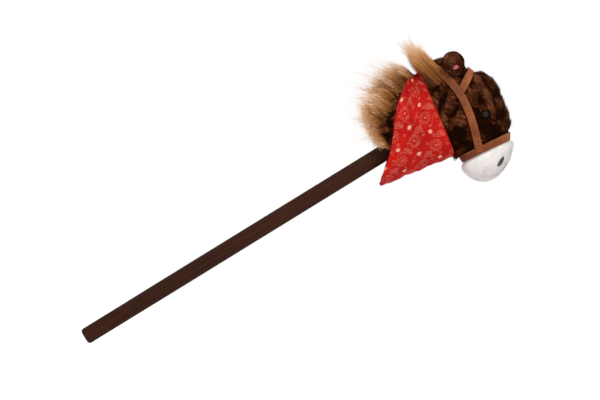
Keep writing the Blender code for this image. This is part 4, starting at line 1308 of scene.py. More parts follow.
@dataclass(frozen=True)
class Cover:
    """One plush cover: its node, the word in its names, its mesh size, its lumps and its pile."""

    node: str
    word: str
    voxel: float
    lumps: float
    pile: Pile
    lay: Callable[[Points], Points]
    back: Finish = BROWN_BACK
    strands: StrandFinish = BROWN_PILE


def straight(*way: float) -> Callable[[Points], Points]:
    """Return a function that gives every point the same direction."""
    return lambda points: np.tile(np.array(way), (len(points), 1))


def clumps(roots: Points, tips: Points, size: float) -> tuple[Points, Points]:
    """Gather strands into clumps by where they are rooted.

    Args:
        roots: The strands' roots.
        tips: Their tips.
        size: The size of a clump.

    Returns:
        The number of each strand's clump, and the middle of that clump's tips.
    """
    _, group = np.unique(np.floor(roots / size).astype(int), axis=0, return_inverse=True)
    group = group.ravel()
    total = np.bincount(group)
    centre = np.stack([np.bincount(group, tips[:, axis]) / total for axis in range(3)], axis=-1)
    return group, centre[group]


@dataclass
class Plush:
    """Sewn plush covers with their pile, and the filling in them.

    Attributes:
        nodes: The frame's solids by name.
        near: All of them but the mane.
        rng: The seeded source.
        step_off: A step off the cloth that just clears it.
        sink: A step into the cloth, and how deep the pile is rooted.
        wall: The least thickness of a cover.
        look_round: How far off the cloth another piece leaves it uncovered.
        pushed: How far the filling may pull the cloth in and push it out.
        chin_push: How far it pushes it out under the chin.
        seam_reach: How far the ridge along a seam reaches.
        flank: How far from the middle plane the gusset's seams lie at least.
        painted_shadows: Painted shadows on the side panels, where the cloth is also pushed in a little, each
            as its middle forward and up, two reaches and a depth.
        chin_ahead: Where the chin starts forward, and its soft edge.
        chin_below: The height in the head below which it is, and its soft edge.
        swirl: The size, the turn and the seed of the swirls in the pile.
        stray: How far the strands stray from the way they lie.
        reach: How far to look along a strand.
        worn: Words in the names of the solids that lie on the plush.
        over: Those solids.
    """

    nodes: dict
    near: Neighbours
    rng: np.random.Generator
    step_off: float = 0.0012
    sink: float = 0.0004
    wall: float = 0.0008
    look_round: float = 0.006
    pushed: tuple = (-0.0019, 0.0010)
    chin_push: float = 0.0030
    seam_reach: float = 0.0032
    flank: float = 0.012
    painted_shadows: tuple = ((0.051, 0.654, 0.021, 0.014, 3.2), (0.047, 0.612, 0.022, 0.014, 0.9))
    chin_ahead: tuple = (0.052, 0.006)
    chin_below: tuple = (0.094, 0.010)
    swirl: tuple = (0.010, 0.45, 11)
    stray: float = 0.16
    reach: float = 0.012
    worn: tuple = ("strap", "band", "eye_right", "eye_left")
    over: Neighbours = field(init=False)

    def __post_init__(self) -> None:
        """Gather what lies on the plush."""
        lying = [name for name in self.nodes if any(word in name for word in self.worn)]
        self.over = Neighbours({name: self.nodes[name] for name in lying})

    def cover(self, node: str, name: str, voxel: float, lumps: float, look: Material) -> bpy.types.Object:
        """Soften one cover of the frame into sewn, stuffed cloth.

        Args:
            node: The frame's node.
            name: The new piece's name.
            voxel: The size of the even mesh that it becomes.
            lumps: How far the filling lifts it here and there.
            look: The cloth's material.

        Returns:
            The padded piece.
        """
        thing = copy_of(self.nodes[node], name)
        apply_modifier(thing, "REMESH", mode="VOXEL", voxel_size=voxel)
        apply_modifier(thing, "SMOOTH", factor=0.5, iterations=8)
        if lumps:
            self.stuff(thing, lumps)
        dress(thing, look, node)
        return thing

    def stuff(self, thing: bpy.types.Object, lumps: float) -> None:
        """Push a cover's outer wall out and in, as the filling behind it does.

        Args:
            thing: The cover.
            lumps: How far the filling lifts it here and there.
        """
        points, normals = vertices_of(thing), normals_of(thing)
        bare = self.bare(points, normals, self.look_round)
        lift = np.clip((self.relief(points) - 0.9) * lumps, *self.pushed)
        chin = self.under_chin(points)
        lift = lift * (1 - chin) + self.chin_push * chin
        lift = np.where(lift < 0, lift * (1 - self.ridge(points)), lift)
        lift = np.where(bare & self.outer(points, normals), lift, 0.0)
        move_vertices(thing, points + normals * lift[:, None])
        apply_modifier(thing, "SMOOTH", factor=0.5, iterations=2)
        points, normals = vertices_of(thing), normals_of(thing)
        move_vertices(thing, points + normals * self.near.wall_ahead(points, normals)[:, None])

    def bare(self, points: Points, normals: Points, reach: float) -> Points:
        """Return which points of a cover have nothing over them within a reach."""
        return self.near.room(points + normals * self.step_off, normals, reach) >= reach

    def outer(self, points: Points, normals: Points) -> Points:
        """Return which points are on a cover's outer wall, where a step inwards stays in the cloth."""
        return self.near.room(points - normals * self.sink, -normals, self.look_round) > self.wall

    def ridge(self, points: Points) -> Points:
        """Measure how near points are to the gusset's seams.

        Args:
            points: The points.

        Returns:
            1 on a seam, falling to 0 beside it.
        """
        x, y, up = points.T
        seam = up - NECK_EDGE - smooth_values(GUSSET_SEAM, 1, x)
        seam = np.where((x > GUSSET_SEAM[1][0]) & (np.abs(y) > self.flank), seam, 1.0)
        return np.exp(-((seam / self.seam_reach) ** 2))

    def relief(self, points: Points) -> Points:
        """Measure how high the plush stands, which also sets the pile's painted shade and painted highlight.

        Args:
            points: The points.

        Returns:
            About -1 in the hollows to 1 on the lumps.
        """
        lumps = ripple(points, LUMP, np.random.default_rng(LUMP_SEED))
        # Painted shadow: dark patches ahead of the eye and low on the front of the side panels darken the
        # pile there and sink the cloth a little.
        shadow = np.zeros(len(points))
        for x, up, reach, rise, depth in self.painted_shadows:
            away = np.hypot((points[:, 0] - x) / reach, (points[:, 2] - up) / rise)
            shadow += depth * np.exp(-(away ** 4))
        fade = np.clip((0.060 - points[:, 0]) / 0.030, 0.15, 1.0)
        ridge = self.ridge(points)
        return lumps * 0.8 + 1.8 * ridge * fade - shadow * (1.0 - ridge * fade)

    def under_chin(self, points: Points) -> Points:
        """Measure how far under the chin points are, where the pile hangs down.

        Args:
            points: The points.

        Returns:
            1 under it, falling to 0 round it.
        """
        (front, front_edge), (top, top_edge) = self.chin_ahead, self.chin_below
        ahead = np.clip((points[:, 0] - front) / front_edge, 0, 1)
        return ahead * np.clip((NECK_EDGE + top - points[:, 2]) / top_edge, 0, 1)

    def head_lay(self, points: Points) -> Points:
        """Find the way back over the head and down the neck.

        Args:
            points: The points.

        Returns:
            One direction for each.
        """
        low = np.clip((NECK_EDGE + 0.085 - points[:, 2]) / 0.03, 0, 1)[:, None]
        low = np.maximum(low, self.under_chin(points)[:, None])
        return unit(np.array([-1.0, 0.0, -0.35]) * (1 - low) + np.array([-0.15, 0.0, -1.0]) * low)

    def comb(self, roots: Points, normals: Points, towards: Points) -> Points:
        """Lay the pile along the cloth, in swirls.

        Args:
            roots: The strands' roots.
            normals: The directions in which the cloth faces there.
            towards: The way that the pile should take.

        Returns:
            The way that each strand lies.
        """
        lay = unit(towards - normals * (towards * normals).sum(axis=1, keepdims=True))
        size, most, seed = self.swirl
        turn = np.cross(normals, lay) * ripple(roots, size, np.random.default_rng(seed))[:, None] * most
        return unit(lay + turn + self.rng.normal(scale=self.stray, size=roots.shape))

    def grow(self, thing: bpy.types.Object, cover: Cover, look: Material) -> None:
        """Grow the pile of one cover, as one mesh, where nothing lies on the cloth.

        Args:
            thing: The padded cover.
            cover: What it is, with its pile.
            look: The pile's material.
        """
        rng, pile = self.rng, cover.pile
        roots, normals = Surface.of(thing).scatter(pile.count * 3, rng)
        chin = pile.chin * self.under_chin(roots)
        bare = self.bare(roots, normals, pile.cover_room)
        bare &= (np.cumsum(bare) <= pile.count) | (chin > 0.3)
        roots, normals, chin = roots[bare], normals[bare], chin[bare]
        count = len(roots)
        lay = self.comb(roots, normals, cover.lay(roots))
        lump = self.relief(roots)
        lift = np.clip(lump, -1.0, 1.5)
        stand = pile.stand * (1.0 + 0.30 * lift + rng.uniform(-0.25, 0.25, count)) + chin
        length = pile.length * (1.0 + 0.15 * lift + rng.uniform(-0.25, 0.2, count) + 0.6 * chin)
        rise = unit(normals * stand[:, None] + lay)
        room = self.near.room(roots + normals * 0.0016, rise, self.reach)
        length = np.minimum(length, np.maximum(room + 0.0012, 0.0015))[:, None, None]
        steps = np.linspace(0.0, 1.0, 4)[None, :, None]
        bend = (lay - normals * 0.30)[:, None] * 0.35 * steps ** 2
        lines = (roots - normals * self.sink)[:, None] + length * (rise[:, None] * steps + bend)
        group, middle = clumps(roots, lines[:, -1], pile.clump_size)
        pull = (middle - lines[:, -1])[:, None] * steps ** 2
        lines = lines + pull * (pile.clump * (1 - 0.7 * chin))[:, None, None]
        # Painted shade and highlight: the pile is darker in the hollows and painted shadows and lighter on
        # the lumps and the seam ridge, after the relief; the clump's random number is its own tone.
        shade = 0.5 + 0.34 * lump + 0.18 * rng.normal(size=group.max() + 1)[group]
        shade = np.clip(shade, -0.8, 1.2) + pile.tint
        way = lines[:, -1] - roots
        free = self.over.room(roots, unit(way), self.reach) >= np.linalg.norm(way, axis=1)
        width = (pile.width * rng.uniform(0.7, 1.3, count))[free]
        chance = rng.random(count)[free]
        dress(strand_mesh(f"pile_{cover.word}", lines[free], normals[free], width, chance, shade[free]), look)

    def build(self) -> None:
        """Make the covers, their pile and the fillings."""
        brown = Pile(count=36000, length=0.0062, width=0.0007, stand=0.42, chin=1.0)
        crown = Pile(count=18000, length=0.0062, width=0.0007, stand=0.42)
        base = Pile(count=2500, length=0.003, width=0.0006, stand=1.2)
        short = Pile(count=26000, length=0.0020, width=0.0005, stand=0.8, clump=0.2)
        ear = Pile(
            count=12000, length=0.0033, width=0.0006, stand=0.7,
            clump_size=0.0024, clump=0.4, tint=0.24, cover_room=0.003,
        )
        white = (WHITE_BACK, WHITE_PILE)
        right, left = unit(np.array([[-0.700, -0.700, 0.010], [-0.600, 0.740, 0.080]]))
        covers = (
            Cover("head_panel_right", "panel_right", 0.0014, 0.0010, brown, self.head_lay),
            Cover("head_panel_left", "panel_left", 0.0014, 0.0010, brown, self.head_lay),
            Cover("crown_gusset", "gusset", 0.0014, 0.0010, crown, self.head_lay),
            Cover("neck_base", "neck_base", 0.0010, 0.0, base, straight(1.0, 0.2, 0.0)),
            Cover("muzzle_skin", "muzzle", 0.0014, 0.0, short, straight(-0.8, 0.0, -0.4), *white),
            Cover("ear_right", "ear_right", 0.0008, 0.0003, ear, straight(*right)),
            Cover("ear_left", "ear_left", 0.0008, 0.0003, ear, straight(*left)),
        )
        looks = {finish: finish.mix() for finish in (BROWN_BACK, BROWN_PILE, *white)}
        for cover in covers:
            name = f"plush_{cover.word}"
            thing = self.cover(cover.node, name, cover.voxel, cover.lumps, looks[cover.back])
            self.grow(thing, cover, looks[cover.strands])
        fibre = FIBRE.mix()
        fillings = {"head_stuffing": 0.003, "ear_stuffing_right": 0.001, "ear_stuffing_left": 0.001}
        for node, voxel in fillings.items():
            self.cover(node, node.replace("stuffing", "filling"), voxel, 0.0, fibre)


@dataclass
class Bridle:
    """The flat felt straps, stitched along their edges, that lie round the head.

    Attributes:
        width: A strap's width.
        thickness: Its thickness.
        lift: How far its underside is off the plush.
        across: How many points it has across.
        joint: Where the straps meet, forward and up in the head.
        cheek_line: The line of the cheek straps, from the muzzle back, seen from the side.
        crown_line: The line of the crown strap behind the joint.
        brow_line: The line of the browband above the joint.
        brow_top: Where the browband crosses the top of the head.
        noseband: The rear and the front edge of the noseband along the head.
        bevel: How far the edges are rounded.
        look: The felt.
    """

    width: float = 0.0110
    thickness: float = 0.0018
    lift: float = 0.0010
    across: int = 9
    joint: tuple = (-0.0100, 0.1265)
    cheek_line: tuple = ((0.0645, 0.1098), (0.045, 0.1160), (0.028, 0.1208), (0.010, 0.1245))
    crown_line: tuple = ((-0.030, 0.1252), (-0.048, 0.1215), (-0.060, 0.1180), (-0.070, 0.1150))
    brow_line: tuple = ((-0.0175, 0.1298), (-0.0250, 0.1430), (-0.0300, 0.1510), (-0.0332, 0.1555))
    brow_top: float = -0.0400
    noseband: tuple = (0.0650, 0.0755)
    bevel: float = 0.00045
    look: Material = field(init=False)

    def __post_init__(self) -> None:
        """Mix the felt."""
        self.look = StitchedFelt(self.width, self.joint).mix()

    def side_line(self, line: tuple, side: int) -> Points:
        """Put a line onto one side of the head.

        Args:
            line: Places forward and heights, seen from the side.
            side: 1 for the horse's left, -1 for its right.

        Returns:
            The world points.
        """
        rows = np.array(line)
        zeros = np.zeros(len(rows))
        along = HEAD.to_local(np.stack([rows[:, 0], zeros, NECK_EDGE + rows[:, 1]], axis=-1))[0]
        return HEAD.side_point(along, rows[:, 1], side)

    def strap(self, node: str, path: Points) -> None:
        """Make one strap that hugs the head along a path.

        Args:
            node: The frame's node that it stands for.
            path: The strap's middle line.
        """
        seats, normals = settle_on_head(path)
        ahead = unit(np.gradient(path, axis=0))
        across = unit(np.cross(normals, ahead))
        share = np.linspace(-0.5, 0.5, self.across) * self.width
        edges = seats[:, None] + across[:, None] * share[None, :, None]
        laid = settle_on_head(edges.reshape(-1, 3), self.lift + self.thickness / 2)[0]
        self.finish(node, laid.reshape(*edges.shape))

    def finish(self, node: str, points: Points, closed: bool = False) -> None:
        """Make a strap from its middle surface, with its thickness and soft edges.

        Args:
            node: The frame's node that it stands for.
            points: The surface, by step along, step across and axis.
            closed: Whether it is a ring.
        """
        thing = cloth_grid(f"felt_{node}", points, closed)
        edge = {"limit_method": "ANGLE", "angle_limit": math.radians(50)}
        apply_modifier(thing, "SOLIDIFY", thickness=self.thickness, offset=0.0, use_even_offset=False)
        apply_modifier(thing, "BEVEL", width=self.bevel, segments=2, **edge)
        dress(thing, self.look, node)

    def build(self) -> None:
        """Make the cheek straps, the crown strap, the browband and the noseband."""
        joint_x, joint_up = self.joint
        cheek = (*self.cheek_line, (joint_x + 0.004, joint_up), (joint_x - 0.0003, joint_up))
        for side, word in ((-1, "right"), (1, "left")):
            self.strap(f"cheek_strap_{word}", smooth_path(self.side_line(cheek, side), 60))
        line = ((joint_x - 0.0003, joint_up), (joint_x - 0.0043, joint_up), *self.crown_line)
        low = self.crown_line[-1][1] - 0.002
        back = HEAD.to_world(np.array([HEAD_STATIONS[0][0]]), np.zeros(1), np.array([low]))
        top = HEAD.on_section(np.array([self.brow_top]), np.array([math.pi / 2]))
        self.strap("crown_strap", self.over_head(line, back, 150))
        self.strap("browband", self.over_head(self.brow_line, top, 120))
        self.build_noseband()

    def over_head(self, line: tuple, middle: Points, count: int) -> Points:
        """Lead a line from the right side over a middle point to the left side.

        Args:
            line: Places forward and heights, seen from the side.
            middle: The point between the sides.
            count: How many points to return.

        Returns:
            The resampled points.
        """
        right, left = (self.side_line(line, side) for side in (-1, 1))
        return smooth_path(np.concatenate([right, middle, left[::-1]]), count)

    def build_noseband(self) -> None:
        """Make the closed band over the seam between head and muzzle."""
        angle = np.linspace(0.0, 2 * math.pi, 161)
        back, front = self.noseband
        ends = []
        for form, along in ((HEAD, back), (MUZZLE, front - MUZZLE_SEAM_X)):
            place = np.full(len(angle), along)
            seat = form.on_section(place, angle)
            outward = unit(form.on_section(place, angle, -0.001) - seat)
            ends.append(seat + outward * (self.lift + self.thickness / 2))
        share = np.linspace(0.0, 1.0, self.across)[None, :, None]
        band = ends[0][:, None] * (1 - share) + ends[1][:, None] * share
        self.finish("noseband", band[:, ::-1], closed=True)


@dataclass
class Bandana:
    """The folded, printed cotton bandana whose tip hangs in front of the stick.

    Attributes:
        centre_x: Where the line lies that the cloth goes round.
        top: The top edge's height in the head.
        top_slope: How fast that edge falls forward.
        hem: The hem, as places forward and heights.
        taper: How fast the cloth draws in below the body.
        folds: How many long folds lie one under another.
        fold_depth: How far they stand out.
        thickness: The cloth's thickness.
        lift: How far its middle is off the plush.
        wander: The waves of the long folds: size, number and start.
        gather: How far the fine folds stand out, and how much more at the nape.
        sway: How far the hem swings out.
        roll: The rolled edge's height, its middle and its reach down the cloth.
        around: The steps all round.
        down: The steps from the top edge to the hem.
        smoothing: How many times the hang is evened out all round.
    """

    centre_x: float = -0.008
    top: float = 0.0840
    top_slope: float = 0.150
    hem: tuple = (
        (-0.0795, 0.0840), (-0.0715, 0.0765), (-0.0640, 0.0660), (-0.0530, 0.0485), (-0.0317, 0.0270),
        (-0.0100, 0.0100), (0.0135, -0.0100), (0.0320, -0.0255), (0.0550, -0.0390),
    )
    taper: float = 0.17
    folds: int = 3
    fold_depth: float = 0.0036
    thickness: float = 0.0007
    lift: float = 0.0016
    wander: tuple = ((0.10, 3.0, 0.8), (0.06, 7.0, 0.0))
    gather: tuple = (0.0005, 0.0009)
    sway: float = 0.0016
    roll: tuple = (0.0012, 0.02, 0.018)
    around: int = 240
    down: int = 56
    smoothing: int = 140

    def body_reach(self, angle: Points, height: Points) -> Points:
        """Measure how far head and neck reach from the centre line.

        Args:
            angle: The angles round the centre line.
            height: The heights in the head.

        Returns:
            The distances, 0 where there is no body.
        """
        radius = np.linspace(0.0, 0.12, 241)
        angle, height = np.broadcast_arrays(angle, height)
        shape = angle.shape
        angle, height = angle.ravel()[:, None], height.ravel()[:, None]
        points = np.stack(np.broadcast_arrays(
            self.centre_x + radius * np.cos(angle), radius * np.sin(angle), NECK_EDGE + height,
        ), axis=-1)
        along = HEAD.to_local(points)[0]
        in_head = (HEAD.level(points) <= 0) & (along >= HEAD_STATIONS[0][0]) & (along <= HEAD_STATIONS[-1][0])
        in_neck = (NECK.level(points) <= 0) & (height >= 0) & (height <= NECK_STATIONS[-1][0])
        inside = in_head | in_neck
        last = inside.shape[1] - 1 - np.argmax(inside[:, ::-1], axis=1)
        return np.where(inside.any(axis=1), radius[last], 0.0).reshape(shape)

    def hang(self, angle: Points, height: Points, step: Points) -> Points:
        """Find how far out the cloth hangs: off the body, drawn in slowly below it, and even all round.

        Args:
            angle: The angles round the centre line.
            height: The heights, by angle and step down.
            step: How far down one step goes, as a negative rise, at each angle.

        Returns:
            The distances from the centre line.
        """
        body = self.body_reach(angle[:, None], height)
        body[height <= 0] = 0.0
        hung = body.copy()
        for j in range(1, self.down + 1):
            hung[:, j] = np.maximum(body[:, j], hung[:, j - 1] + self.taper * step)
        for _ in range(self.smoothing):
            hung = np.maximum(body, (np.roll(hung, 1, axis=0) + 2 * hung + np.roll(hung, -1, axis=0)) / 4)
        return hung

    def folded(self, angle: Points, part: Points) -> Points:
        """Model the folds: long ones all the way round, fine ones where it is gathered, and a rolled edge.

        Args:
            angle: The angles round the centre line, as a column.
            part: The way from the top edge to the hem, as a row.

        Returns:
            How far the cloth stands out, by angle and step down.
        """
        share = np.abs(np.remainder(angle + math.pi, 2 * math.pi) - math.pi) / math.pi
        depth = self.fold_depth * (0.35 + 0.65 * np.sin(math.pi * np.minimum(share * 1.15, 1.0)))
        wander = sum(size * np.sin(angle * waves + start) for size, waves, start in self.wander)
        phase = 2 * math.pi * self.folds * (part + wander * part * (1 - part))
        fold = depth * (0.5 - 0.5 * np.cos(phase))
        gathered = self.gather[0] + self.gather[1] * np.clip((share - 0.5) / 0.3, 0.0, 1.0)
        fine = gathered * np.sin(phase * 2.3 + angle * 5.0) * np.sin(math.pi * part)
        sway = self.sway * np.sin(angle * 9.0 + 1.0) * part ** 2
        height, middle, reach = self.roll
        roll = height * np.exp(-((part - middle) / reach) ** 2)
        return fold + fine + roll + np.maximum(sway, 0.0)

    def grid(self) -> Points:
        """Lay the cloth's middle surface.

        Returns:
            Its points, by angle, step down and axis.
        """
        angle = np.linspace(0.0, 2 * math.pi, self.around + 1)[:-1]
        part = np.linspace(0.0, 1.0, self.down + 1)
        reach = self.body_reach(angle, np.full(self.around, self.top))
        edge_x = self.centre_x + reach * np.cos(angle)
        top = self.top - self.top_slope * edge_x
        hem = smooth_values(self.hem, 1, edge_x)
        height = top[:, None] + (hem - top)[:, None] * part[None, :]
        radius = self.hang(angle, height, (hem - top) / self.down) + self.lift
        radius = radius + self.folded(angle[:, None], part[None, :])
        x = self.centre_x + radius * np.cos(angle)[:, None]
        return np.stack([x, radius * np.sin(angle)[:, None], NECK_EDGE + height], axis=-1)

    def build(self) -> None:
        """Lay the cloth round the neck."""
        points = self.grid()
        ring = np.concatenate([points, points[:1]])
        cloth = cloth_grid("cotton_bandana", ring, closed=True)
        apply_modifier(cloth, "SOLIDIFY", thickness=self.thickness, offset=0.0)
        dress(cloth, PrintedCotton().mix(), "bandana")


@dataclass(frozen=True)
class Tuft:
    """One tuft of the mane: where its strands start, turn and end, seen from the side.

    Attributes:
        name: The piece's name.
        node: The frame's node that it stands for.
        roots: A station table of the roots: the share, the place forward and the height.
        turns: The same of the turns.
        tips: The same of the tips.
        seat: A function that drops points onto the plush.
        half: Half the tuft's width across the horse, at its first and its second share.
        wrap: How far its sides come forward, at the same shares.
        fan: How wide the tips are, as a share of the roots.
        bulge: How far the strands swing out sideways.
        lean: How far whole locks stray.
        wisps: The share of long loose strands.
        tint: What is added to its tone.
        count: How many strands it has.
        locks: How many locks.
    """

    name: str
    node: str
    roots: tuple
    turns: tuple
    tips: tuple
    seat: Callable[[Points], Points]
    half: tuple
    wrap: tuple
    fan: float
    bulge: float
    lean: float
    wisps: float
    tint: float
    count: int
    locks: int


@dataclass
class Mane:
    """The long frizzy hair at the nape, in two tufts above and below the bandana.

    Attributes:
        rng: The seeded source.
        steps: How many points a strand has.
        width: A strand's width at its root.
        farthest: How far back the hair may reach.
        frizzy: The share of frizzy strands.
        split: Between which shares of its roots a tuft goes from its first to its second width.
        stray: How far a strand strays from its lock, down the roots and across them.
        root_stray: How far a root strays.
        turn_stray: How far a turn strays.
        curls: The least and the most curl of a strand.
        curl_size: The least and the most size of its curls.
    """

    rng: np.random.Generator
    steps: int = 10
    width: float = 0.00040
    farthest: float = -0.1255
    frizzy: float = 0.38
    split: tuple = (0.1, 0.6)
    stray: tuple = (0.045, 0.15)
    root_stray: float = 0.0012
    turn_stray: float = 0.0024
    curls: tuple = (5.0, 15.0)
    curl_size: tuple = (0.0005, 0.0016)

    def seat_on_neck(self, points: Points) -> Points:
        """Return points dropped onto the neck, those near its lower edge left as they are."""
        low = points[:, 2:] < NECK_EDGE + 0.012
        return np.where(low, points, NECK.settle(points))

    def guides(self, tuft: Tuft, pick: Points, frizz: Points) -> list[Points]:
        """Choose where each strand starts, turns and ends.

        Args:
            tuft: The tuft.
            pick: The number of each strand's lock.
            frizz: Which strands are frizzy.

        Returns:
            The roots, the turns and the tips.
        """
        rng, locks = self.rng, tuft.locks
        place = np.stack([rng.random(locks), rng.uniform(-1.0, 1.0, locks)])[:, pick]
        stray = rng.normal(size=(2, tuft.count)) * np.array(self.stray)[:, None]
        found = []
        rows = ((tuft.roots, 1.0, 1.0), (tuft.turns, (1 + tuft.fan) / 2, 0.7), (tuft.tips, tuft.fan, 0.25))
        for row, spread, loose in rows:
            share, side = np.clip(place + stray * np.where(frizz, 1.0, loose), [[0.0], [-1.0]], 1.0)
            x, up = (smooth_values(row, column, share) for column in (1, 2))
            if not found:
                sweep = np.abs(side) ** 2.2 + rng.uniform(-0.3, 0.25, locks)[pick]
                x = x + np.interp(share, self.split, tuft.wrap) * sweep
            half = np.interp(share, self.split, tuft.half)
            found.append(np.stack([x, side * half * spread, NECK_EDGE + up], axis=-1))
        return found

    def lines(self, tuft: Tuft) -> tuple[Points, Points]:
        """Draw the lines of a tuft's strands.

        Args:
            tuft: The tuft.

        Returns:
            The lines, by strand, step and axis, and the shade of each strand's lock.
        """
        rng, count, locks = self.rng, tuft.count, tuft.locks
        pick = rng.integers(0, locks, count)
        frizz = rng.random(count) < self.frizzy
        root, turn, tip = self.guides(tuft, pick, frizz)
        root = tuft.seat(root) + rng.normal(scale=self.root_stray, size=root.shape)
        wisp = rng.random(count) < tuft.wisps
        length = np.where(wisp, rng.uniform(0.25, 1.1, count), 0.36 * rng.random(count) ** 1.6)
        turn = turn + rng.normal(scale=self.turn_stray, size=root.shape)
        turn[:, 0] += 0.009 * (1 - np.minimum(length * 2.5, 1.0))
        reach = (rng.uniform(0.66, 1.14, locks)[pick] * (0.10 + length))[:, None]
        lean = rng.normal(scale=tuft.lean, size=(locks, 3))[pick]
        lean = lean + rng.normal(size=root.shape) * np.where(frizz, 0.0050, 0.0012)[:, None]
        tip = turn + (tip - turn) * reach + lean * (0.3 + reach)
        t = np.linspace(0.0, 1.0, self.steps)[None, :, None]
        bend = 2 * turn - (root + tip) / 2
        bend[:, 1] += np.sign(root[:, 1]) * tuft.bulge
        lines = root[:, None] * (1 - t) ** 2 + bend[:, None] * 2 * t * (1 - t) + tip[:, None] * t ** 2
        phase = rng.uniform(0, 2 * math.pi, (count, 1, 3))
        curl = rng.uniform(*self.curls, (count, 1, 1))
        size = rng.uniform(*self.curl_size, (count, 1, 1)) * np.where(frizz, 1.7, 1.0)[:, None, None]
        lines = lines + np.sin(t * curl + phase) * size * (0.25 + t)
        lines[..., 0] = np.maximum(lines[..., 0], self.farthest)
        shade = np.clip(0.5 + 0.38 * rng.normal(size=locks), -0.2, 1.2)[pick] + tuft.tint
        return lines, shade

    def build(self) -> None:
        """Make the two tufts."""
        tufts = (
            Tuft(
                "hair_mane_upper", "mane_upper",
                ((0.0, -0.0765, 0.1195), (0.5, -0.0780, 0.1105), (1.0, -0.0760, 0.0985)),
                ((0.0, -0.0865, 0.1130), (0.5, -0.0885, 0.1040), (1.0, -0.0870, 0.0960)),
                ((0.0, -0.1180, 0.1070), (0.5, -0.1220, 0.0990), (1.0, -0.1150, 0.0890)),
                seat=lambda points: settle_on_head(points)[0], half=(0.046, 0.046), wrap=(0.029, 0.029),
                fan=0.60, bulge=0.0040, lean=0.0052, wisps=0.07, tint=-0.05, count=8500, locks=70,
            ),
            Tuft(
                "hair_mane_lower", "mane_lower",
                (
                    (0.0, -0.0700, 0.0840), (0.25, -0.0715, 0.0620), (0.50, -0.0680, 0.0370),
                    (0.70, -0.0580, 0.0140), (0.85, -0.0440, 0.0040), (1.0, -0.0180, 0.0010),
                ),
                (
                    (0.0, -0.0890, 0.0770), (0.25, -0.0900, 0.0530), (0.50, -0.0750, 0.0270),
                    (0.70, -0.0640, 0.0040), (0.85, -0.0480, -0.0050), (1.0, -0.0190, -0.0065),
                ),
                (
                    (0.0, -0.1150, 0.0600), (0.25, -0.1140, 0.0320), (0.50, -0.0950, 0.0010),
                    (0.70, -0.0760, -0.0150), (0.85, -0.0540, -0.0200), (1.0, -0.0200, -0.0190),
                ),
                seat=self.seat_on_neck, half=(0.021, 0.033), wrap=(0.003, 0.020),
                fan=1.00, bulge=0.0, lean=0.0070, wisps=0.12, tint=0.21, count=11700, locks=110,
            ),
        )
        look = CARAMEL_HAIR.mix()
        for tuft in tufts:
            lines, shade = self.lines(tuft)
            centre = lines[:, 0].mean(axis=0) + np.array([0.02, 0.0, 0.0])
            facing = unit(lines[:, self.steps // 2] - centre)
            facing = unit(facing + self.rng.normal(scale=0.5, size=facing.shape))
            width = self.width * self.rng.uniform(0.7, 1.4, tuft.count)
            thing = strand_mesh(tuft.name, lines, facing, width, self.rng.random(tuft.count), shade)
            dress(thing, look, tuft.node)


@dataclass
class Trim:
    """The embroidered nostrils and the pink press mark."""

    nodes: dict

    def soften(self, node: str, name: str, voxel: float) -> bpy.types.Object:
        """Copy a small solid of the frame with an even, rounded mesh.

        Args:
            node: The frame's node.
            name: The new piece's name.
            voxel: The size of its mesh.

        Returns:
            The copy.
        """
        thing = copy_of(self.nodes[node], name)
        apply_modifier(thing, "REMESH", mode="VOXEL", voxel_size=voxel)
        apply_modifier(thing, "SMOOTH", factor=0.5, iterations=3)
        return thing

    def build(self) -> None:
        """Make both nostrils and the mark."""
        thread = THREAD.mix()
        for node in ("nostril_right", "nostril_left"):
            dress(self.soften(node, f"stitched_{node}", 0.00025), thread, node)
        mark = self.soften("press_mark", "felt_press_mark", 0.0003)
        dress(mark, PINK_FELT.mix(), "press_mark", body="press_button")


@dataclass
class Hardware:
    """The frame's own solids that stay: stick, eyes, pocket, tie and the sound unit."""

    nodes: dict
    press_way: tuple = (-0.706999, 0.707143, 0.0101)

    def press_spring(self, look: Material) -> None:
        """Copy the coil between the board and the press button.

        Args:
            look: Its material.
        """
        coil = copy_of(self.nodes["button_spring"], "steel_press_spring")
        paint(coil, look)
        points, way = vertices_of(coil), unit(np.array(self.press_way))
        along = (points - points.mean(axis=0)) @ way
        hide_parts("button_spring")
        deep, outer = (tuple(points.mean(axis=0) + way * end) for end in (along.max(), along.min()))
        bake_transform(coil)
        LOG.info("%s: %d vertices", coil.name, len(points))

    def build(self) -> None:
        """Mix every look and put it on."""
        pale = ("eye_washer_right", "eye_washer_left", "neck_tie", "case_front", "case_back")
        finishes = (
            (StainedWood(), ("stick",)),
            (EYE, ("eye_right", "eye_left")),
            (PALE_PLASTIC, pale),
            (LINING, ("stick_sleeve",)),
            (RED_PLASTIC, ("sound_button",)),
            (BOARD, ("circuit_board",)),
            (BRASS, ("speaker_disc",)),
            (STEEL, ("battery_contact", "cell_1", "cell_2", "cell_3")),
        )
        for finish, names in finishes:
            look = finish.mix()
            for name in names:
                paint(self.nodes[name], look)
        self.press_spring(look)


def seen_by(tree: bpy.types.NodeTree, *rays: str) -> Socket:
    """Tell rays of some kinds from all others.

    Args:
        tree: The material's or the world's tree.
        rays: The kinds, such as Camera.

    Returns:
        1 for rays of those kinds, 0 for the others.
    """
    light = tree.nodes.new("ShaderNodeLightPath")
    kinds = [Socket(tree, light.outputs[f"Is {ray} Ray"]) for ray in rays]
    return sum(kinds[1:], kinds[0]).math("MINIMUM", 1.0)


